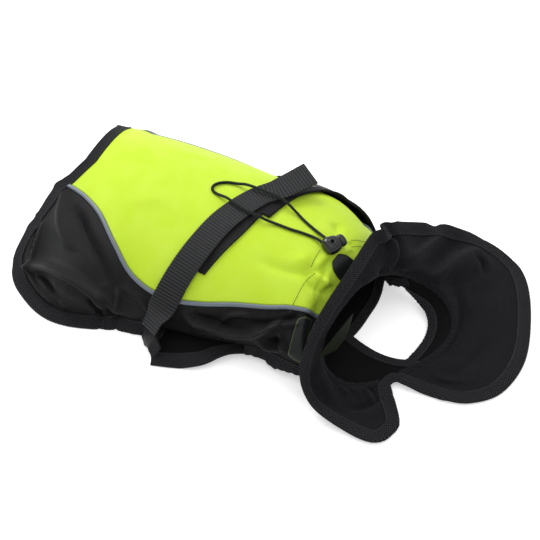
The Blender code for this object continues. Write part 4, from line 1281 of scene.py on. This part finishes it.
def addHemBindings():
    form = tapeForm
    corner = np.linspace(0, np.pi / 2, 24)
    start, length = backFit["tailCornerStart"], backFit["tailCorner"]
    cornerV = start + (1 - start) * np.sin(corner)
    cornerU = length * (1 - np.cos(corner))
    farU = np.linspace(form["hemFar"], length, 40)
    nearU = np.linspace(length, form["hemNear"], 40)
    middle = np.linspace(start, -start, 60)
    u = np.concatenate([farU[:-1], cornerU[::-1], 0 * middle[1:-1], cornerU, nearU[1:]])
    v = np.concatenate([1 + 0 * farU[:-1], cornerV[::-1], middle[1:-1], -cornerV, -1 + 0 * nearU[1:]])
    addBackBinding("tailBinding", "hem_tape", u, v, 0.0, form["width"], None)
    u = np.linspace(*form["legNear"], 60)
    addBackBinding(
        "nearLegBinding", "leg_tape_near", u, 0 * u - 1, 0.3, form["legWidth"], form["nearGather"],
        form["legNearFlare"], form["legNearBulges"],
    )
    u = np.linspace(*form["legFar"], 60)[::-1]
    floor = form["thick"] + coat["seam"]
    addBackBinding("farLegBinding", "leg_tape_far", u, 0 * u + 1, floor, form["legWidth"], form["farGather"])


def addBackBinding(name, node, u, v, floor, width, gather, flare=(0, 0, 0), bulges=()):
    # A tape on the back's edge; each bulge widens it by a bell over the place u
    u, v = evenPath(back, u, v, tapeForm["spacing"])
    for place, extra, half in bulges:
        width = width + extra * np.exp(-(((u - place) / half) ** 2))
    inU = np.clip(u + 0.06 * np.clip(1 - u / 0.32, 0, 1), 0, lastSection)
    inV = v - 0.02 * np.sign(v) * np.clip((np.abs(v) - 0.8) / 0.2, 0, 1)
    facings = facing(smoothBack, u, v), facing(back, u, v)
    addBinding(name, node, back(u, v), back(inU, inV), *facings, width, floor, gather, flare)


addHemBindings()
print("hems bound")

# The belly band


def addBand():
    r = np.concatenate([np.linspace(0, 3, 90), np.linspace(3, 7, 120)[1:], np.linspace(7, bandEnd, 200)[1:]])
    r, s = np.meshgrid(r, np.linspace(0, 1, 60), indexing="ij")
    finishes = [darkSoftshell, lining]
    addSheet("bellyBand", band(r, s), coat["cloth"], finishes, "belly_band")
    form = tapeForm
    farRows = (chestForm["bandFar"] + 0.1, bandEnd - form["bandEnd"])
    lines = (
        ("bandRearBinding", "band_tape_rear", 0.0, form["bandRear"], form["width"]),
        ("bandNearBinding", "band_tape_near", 1.0, form["bandNear"], form["width"]),
        ("bandFarBinding", "band_tape_far", 1.0, farRows, form["legWidth"]),
    )
    for name, node, side, (first, last), width in lines:
        r = np.linspace(first, last, 200)
        r, s = evenPath(band, r, side + 0 * r, form["spacing"])
        away = facing(band, r, s)
        hang = np.clip(1.7 - 2.2 * np.linspace(0, 1, len(r)), 0, 1)[:, None]
        flare = hang * form["bandNearFlare"] if node == "band_tape_near" else (0, 0, 0)
        addBinding(name, node, band(r, s), band(r, np.abs(s - 0.04)), away, away, width, flare=flare)


addBand()
print("belly band laid")


def addStrap():
    # A flat profile carried along the strap's line; ribs across it rise as a rounded sine
    form = strapForm
    lines = strapLine(np.linspace(0, strapPlaces, 1200))
    run = runAlong(lines[0])
    even = np.arange(0, run[-1], form["rib"] / 8)
    middle, side, up = (resample(even, run, line) for line in lines)
    side, up = unit(side), unit(up)
    rib = np.abs(np.sin(np.pi * even / form["rib"])) ** 0.8
    ends = np.clip((even - (run[-1] - form["hem"])) / 2, 0, 1)
    lift = form["thick"] / 2 - form["ribHeight"] + form["ribHeight"] * rib
    half = form["width"] / 2 - 0.35 * (1 - rib)
    sideways = [side * (half * a)[:, None] for a, b in form["profile"]]
    top = [middle + out + up * (lift * b)[:, None] for out, (a, b) in zip(sideways, form["profile"])]
    lower = lift + form["hemThick"] * ends
    bottom = [middle + out - up * (lower * b)[:, None] for out, (a, b) in zip(sideways, form["profile"])]
    rings = np.stack(top + bottom[::-1], axis=1)
    carriedPiece("webbingStrap", rings, ribbedWebbing, "strap")


addStrap()
print("strap sewn on")


def addChest():
    w, s = np.meshgrid(np.linspace(0, 1, 60), np.linspace(0, 1, 50), indexing="ij")
    finishes = [lining, darkSoftshell]
    addSheet("chestPanel", chest(w, s), coat["cloth"], finishes, "chest_panel")
    for name, side, first in (("near", 0.0, 0.45), ("far", 1.0, 0.0)):
        s = np.linspace(first, 1.0, 60)
        w = side + 0 * s
        away = facing(chest, w, s)
        inner = chest(np.abs(w - 0.05), s)
        width = tapeForm["legWidth"]
        addBinding(name + "ChestBinding", "chest_tape_" + name, chest(w, s), inner, away, away, width)


def addThroat():
    w, s = np.meshgrid(np.linspace(0, 1, 140), np.linspace(0, 1, 24), indexing="ij")
    finishes = [darkSoftshell, lining]
    addSheet("throatBand", throat(w, s), coat["cloth"], finishes, "throat_band")
    w = np.linspace(0.0, 1.0, 80)
    w, s = evenPath(throat, w, 1 + 0 * w, tapeForm["spacing"])
    edge, inner, away = throat(w, s), throat(w, s - 0.1), facing(throat, w, s)
    # carried on past its end, where it is sewn in under the chest's tape
    more = throatForm["more"]
    beyond = np.arange(1, more + 1)[:, None] * (edge[-1] - edge[-2]) * np.array((1.0, 1.0, 0.3))
    edge = np.vstack([edge, edge[-1] + beyond])
    inner = np.vstack([inner, inner[-1] + beyond])
    away = np.vstack([away, np.repeat(away[-1:], more, axis=0)])
    gather = tapeForm["throatGather"]
    addBinding("throatBinding", "throat_tape", edge, inner, away, away, tapeForm["legWidth"], gather=gather)


addChest()
addThroat()
print("chest and throat closed")


def addCollar():
    w, s = np.meshgrid(np.linspace(0, collarEnd, 420), np.linspace(0, 1, 80), indexing="ij")
    finishes = [collarTwill, darkSoftshell]
    addSheet("flaredCollar", collar(w, s), coat["cloth"], finishes, "collar")
    ends = np.linspace(0.02, 1, 40)
    outer = np.linspace(0, collarEnd, 300)
    w = np.concatenate([0 * ends[:-1], outer, 0 * ends[:-1] + collarEnd])
    s = np.concatenate([ends[:-1], 0 * outer + 1, ends[-2::-1]])
    w, s = evenPath(collar, w, s, tapeForm["spacing"])
    edge = collar(w, s)
    away = facing(collar, np.clip(w, 0.01, collarEnd - 0.01), np.clip(s, 0, 0.99))
    inner = collar(np.clip(w, 0.12, collarEnd - 0.12), np.clip(s, 0, 0.97))
    width = tapeForm["width"] + 0 * edge[:, 0]
    # over the top of the slit
    slit = np.array(collarForm["slit"], float)
    top = spline(np.vstack([edge[-1], slit, edge[0]]), np.linspace(0, len(slit) + 1, 30))[1:-1]
    within = unit(np.array(collarForm["slitInner"], float) - top) * 3.0 + top
    level = np.tile((0.0, 0.0, 1.0), (len(top), 1))
    topWidth = collarForm["slitWidth"] + 0 * top[:, 0]
    # one closed line, from the top of the slit round the collar and back
    half = len(top) // 2
    edge, inner, away, width = (
        np.concatenate([second[half:], first, second[: half + 1]])
        for first, second in ((edge, top), (inner, within), (away, level), (width, topWidth))
    )
    # smoothed, so that the tape turns evenly from the collar over the slit
    for _ in range(40):
        away[1:-1] = (away[:-2] + 2 * away[1:-1] + away[2:]) / 4
        width[1:-1] = (width[:-2] + 2 * width[1:-1] + width[2:]) / 4
    away = unit(away)
    addBinding("collarBinding", "collar_tape", edge, inner, away, away, width)


# The gathered roll over the neck seam: how far it lies inwards and up, half its width and its height
neckRollForm = {"inward": 0.8, "up": 0.5, "wide": (4.3, 0.6), "high": (1.5, 0.25)}


def addNeckSeam():
    # An oval roll; its size swells and sinks as the cloth is gathered along it
    form = neckRollForm
    w = np.linspace(0.02, collarEnd - 0.02, 900)
    seam = smoothCollar(w, 0 * w)
    across = unit(smoothCollar(w, 0 * w + 0.05) - seam)
    up = facing(smoothCollar, w, 0 * w + 0.02)
    run = runAlong(seam)
    # wave lengths in millimetres, uneven as gathers are
    gathered = np.sin(2 * np.pi * run / 9.3 + 1.7 * np.sin(run / 11.0)) * np.sin(run / 23.0) ** 2
    waves = np.sin(2 * np.pi * run / 8.3 + 2.4 * np.sin(run / 13.0))
    wide = form["wide"][0] + form["wide"][1] * gathered
    high = form["high"][0] + form["high"][1] * waves
    middle = seam - form["inward"] * across + form["up"] * up
    rings = tubeRings(middle, across, up, wide[:, None], high[:, None], 16)
    rings[..., 2] = np.maximum(rings[..., 2], 0.2)
    carriedPiece("neckSeamRoll", rings, collarTwill)


addCollar()
addNeckSeam()
print("collar sewn on")

# Coated patches: the ends of the upper and of the lower edge, rounded at the first ends
patchForm = {
    "thick": 1.2,
    "lift": 2.4,
    "bead": 0.75,
    "round": {"chestTab": 0.3, "leashPatch": 0.8},
    "rim": {"chestTab": greenRim, "leashPatch": coatedPatch},
    # places (u, v) on the back
    "chestTab": ((4.95, -0.535), (5.78, -0.49), (4.86, -0.91), (5.60, -0.86)),
    "leashPatch": ((5.14, -0.025), (6.10, -0.005), (5.14, -0.15), (6.10, -0.175)),
    # hangs inside the collar, sewn to it between its first two corners
    "innerPatch": ((175, -53, 52), (160, -112, 33), (175.5, -65, 33), (171.4, -82.5, 24)),
    "innerThick": 0.8,
    "innerWave": 1.2,
}


def addPatches():
    a, b = np.meshgrid(np.linspace(0, 1, 48), np.linspace(0, 1, 36), indexing="ij")
    blunt = np.clip((0.34 - a) / 0.34, 0, 1) ** 2
    for name, node in (("chestTab", "chest_tab"), ("leashPatch", "leash_patch")):
        narrowed = 0.5 + (b - 0.5) * np.sqrt(1 - patchForm["round"][name] * blunt)
        place = betweenCorners(patchForm[name], a, narrowed)
        points = aboveBack(place[..., 0], place[..., 1], patchForm["lift"] + 0 * a)
        finishes = [coatedPatch, coatedPatch, patchForm["rim"][name]]
        addSheet(name, points, patchForm["thick"], finishes, node)
        if name == "chestTab":
            addPatchEdge(name, points)


def addPatchEdge(name, points):
    # A thin bead round the patch, where its coating is cut
    line = np.concatenate([points[:, 0], points[-1], points[::-1, -1], points[0, ::-1]])
    line = line[np.append(True, np.linalg.norm(np.diff(line, axis=0), axis=1) > 0.05)][:-1]
    inward = unit(points.mean(axis=(0, 1)) - line)
    along = unit(np.roll(line, -1, axis=0) - np.roll(line, 1, axis=0))
    up = unit(np.cross(along, inward))
    rings = tubeRings(line, np.cross(up, along), up, patchForm["bead"], patchForm["bead"], 8)
    carriedPiece(name + "Edge", np.concatenate([rings, rings[:1]]), greenRim)


def addInnerPatch():
    a, b = np.meshgrid(np.linspace(0, 1, 48), np.linspace(0, 1, 36), indexing="ij")
    points = betweenCorners(patchForm["innerPatch"], a, b)
    points[..., 2] += patchForm["innerWave"] * np.sin(2 * np.pi * (a + 0.4 * b)) * b
    clothPiece("innerPatch", points, patchForm["innerThick"], [oliveCoating])


addPatches()
addInnerPatch()
print("patches on")

# The spring toggle: a rounded body and the button that is pressed to let the cord run
toggleForm = {
    "places": ((4.86, -0.05, 9.1), (5.08, 0.07, 10.1)),
    "squash": (1.1, 0.86),
    # place along its axis, radius
    "body": (
        (-9.5, 0.4), (-9.4, 3.0), (-8.8, 5.6), (-7.2, 7.6), (-3.5, 8.8), (2.0, 8.6), (6.0, 7.7), (8.0, 6.4),
        (8.4, 4.0), (8.4, 0.4),
    ),
    "button": (
        (8.8, 0.4), (8.9, 4.2), (9.6, 5.6), (11.0, 6.2), (13.6, 6.2), (15.2, 5.4), (15.9, 3.6), (16.0, 0.4),
    ),
    "rim": {"along": -1.5, "above": 7.2, "radius": 3.1, "thick": 1.1},
    "hole": {"above": 0.5, "radius": 1.9},
}


def addToggle():
    form = toggleForm
    places = np.array(form["places"])
    middle, button = aboveBack(places[:, 0], places[:, 1], places[:, 2])
    up = facing(smoothBack, places[:1, 0], places[:1, 1])[0]
    axis = unit(button - middle)
    side = unit(np.cross(axis, up))
    up = np.cross(side, axis)
    # superellipse across the axis
    turn = np.linspace(0, 2 * np.pi, 49)[:-1]
    x = np.sign(np.cos(turn)) * np.abs(np.cos(turn)) ** 0.85 * form["squash"][0]
    y = np.sign(np.sin(turn)) * np.abs(np.sin(turn)) ** 0.85 * form["squash"][1]
    outline = x[:, None] * side + y[:, None] * up
    for name, node in (("body", "toggle_body"), ("button", "toggle_button")):
        rows = spline(form[name], np.linspace(0, len(form[name]) - 1, 40))
        rings = middle + rows[:, None, :1] * axis + rows[:, None, 1:] * outline[None]
        carriedPiece("toggle" + name.capitalize(), rings, mouldedAcetal, node)
    # raised rim round the cord's hole, and a near-black plug sunk in it as painted shade inside the hole
    rim, hole = form["rim"], form["hole"]
    centre = middle + rim["along"] * axis + rim["above"] * up
    around = np.linspace(0, 2 * np.pi, 41)[:-1]
    spoke = np.cos(around)[:, None] * axis + np.sin(around)[:, None] * side
    upward = np.tile(up, (len(spoke), 1))
    rings = tubeRings(centre + spoke * rim["radius"], spoke, upward, rim["thick"], rim["thick"], 12)
    carriedPiece("toggleRim", np.concatenate([rings, rings[:1]]), mouldedAcetal)
    # the plug's near-black finish is painted shade, not the toggle's own colour
    levels = ((-1.5, 0.2), (-1.4, 1.0), (hole["above"], 1.0), (hole["above"] + 0.1, 0.2))
    rings = np.stack([centre + level * up + spoke * share * hole["radius"] for level, share in levels])
    carriedPiece("toggleHolePaintedShade", rings, paintedHoleShade)


addToggle()
print("toggle on the cord")
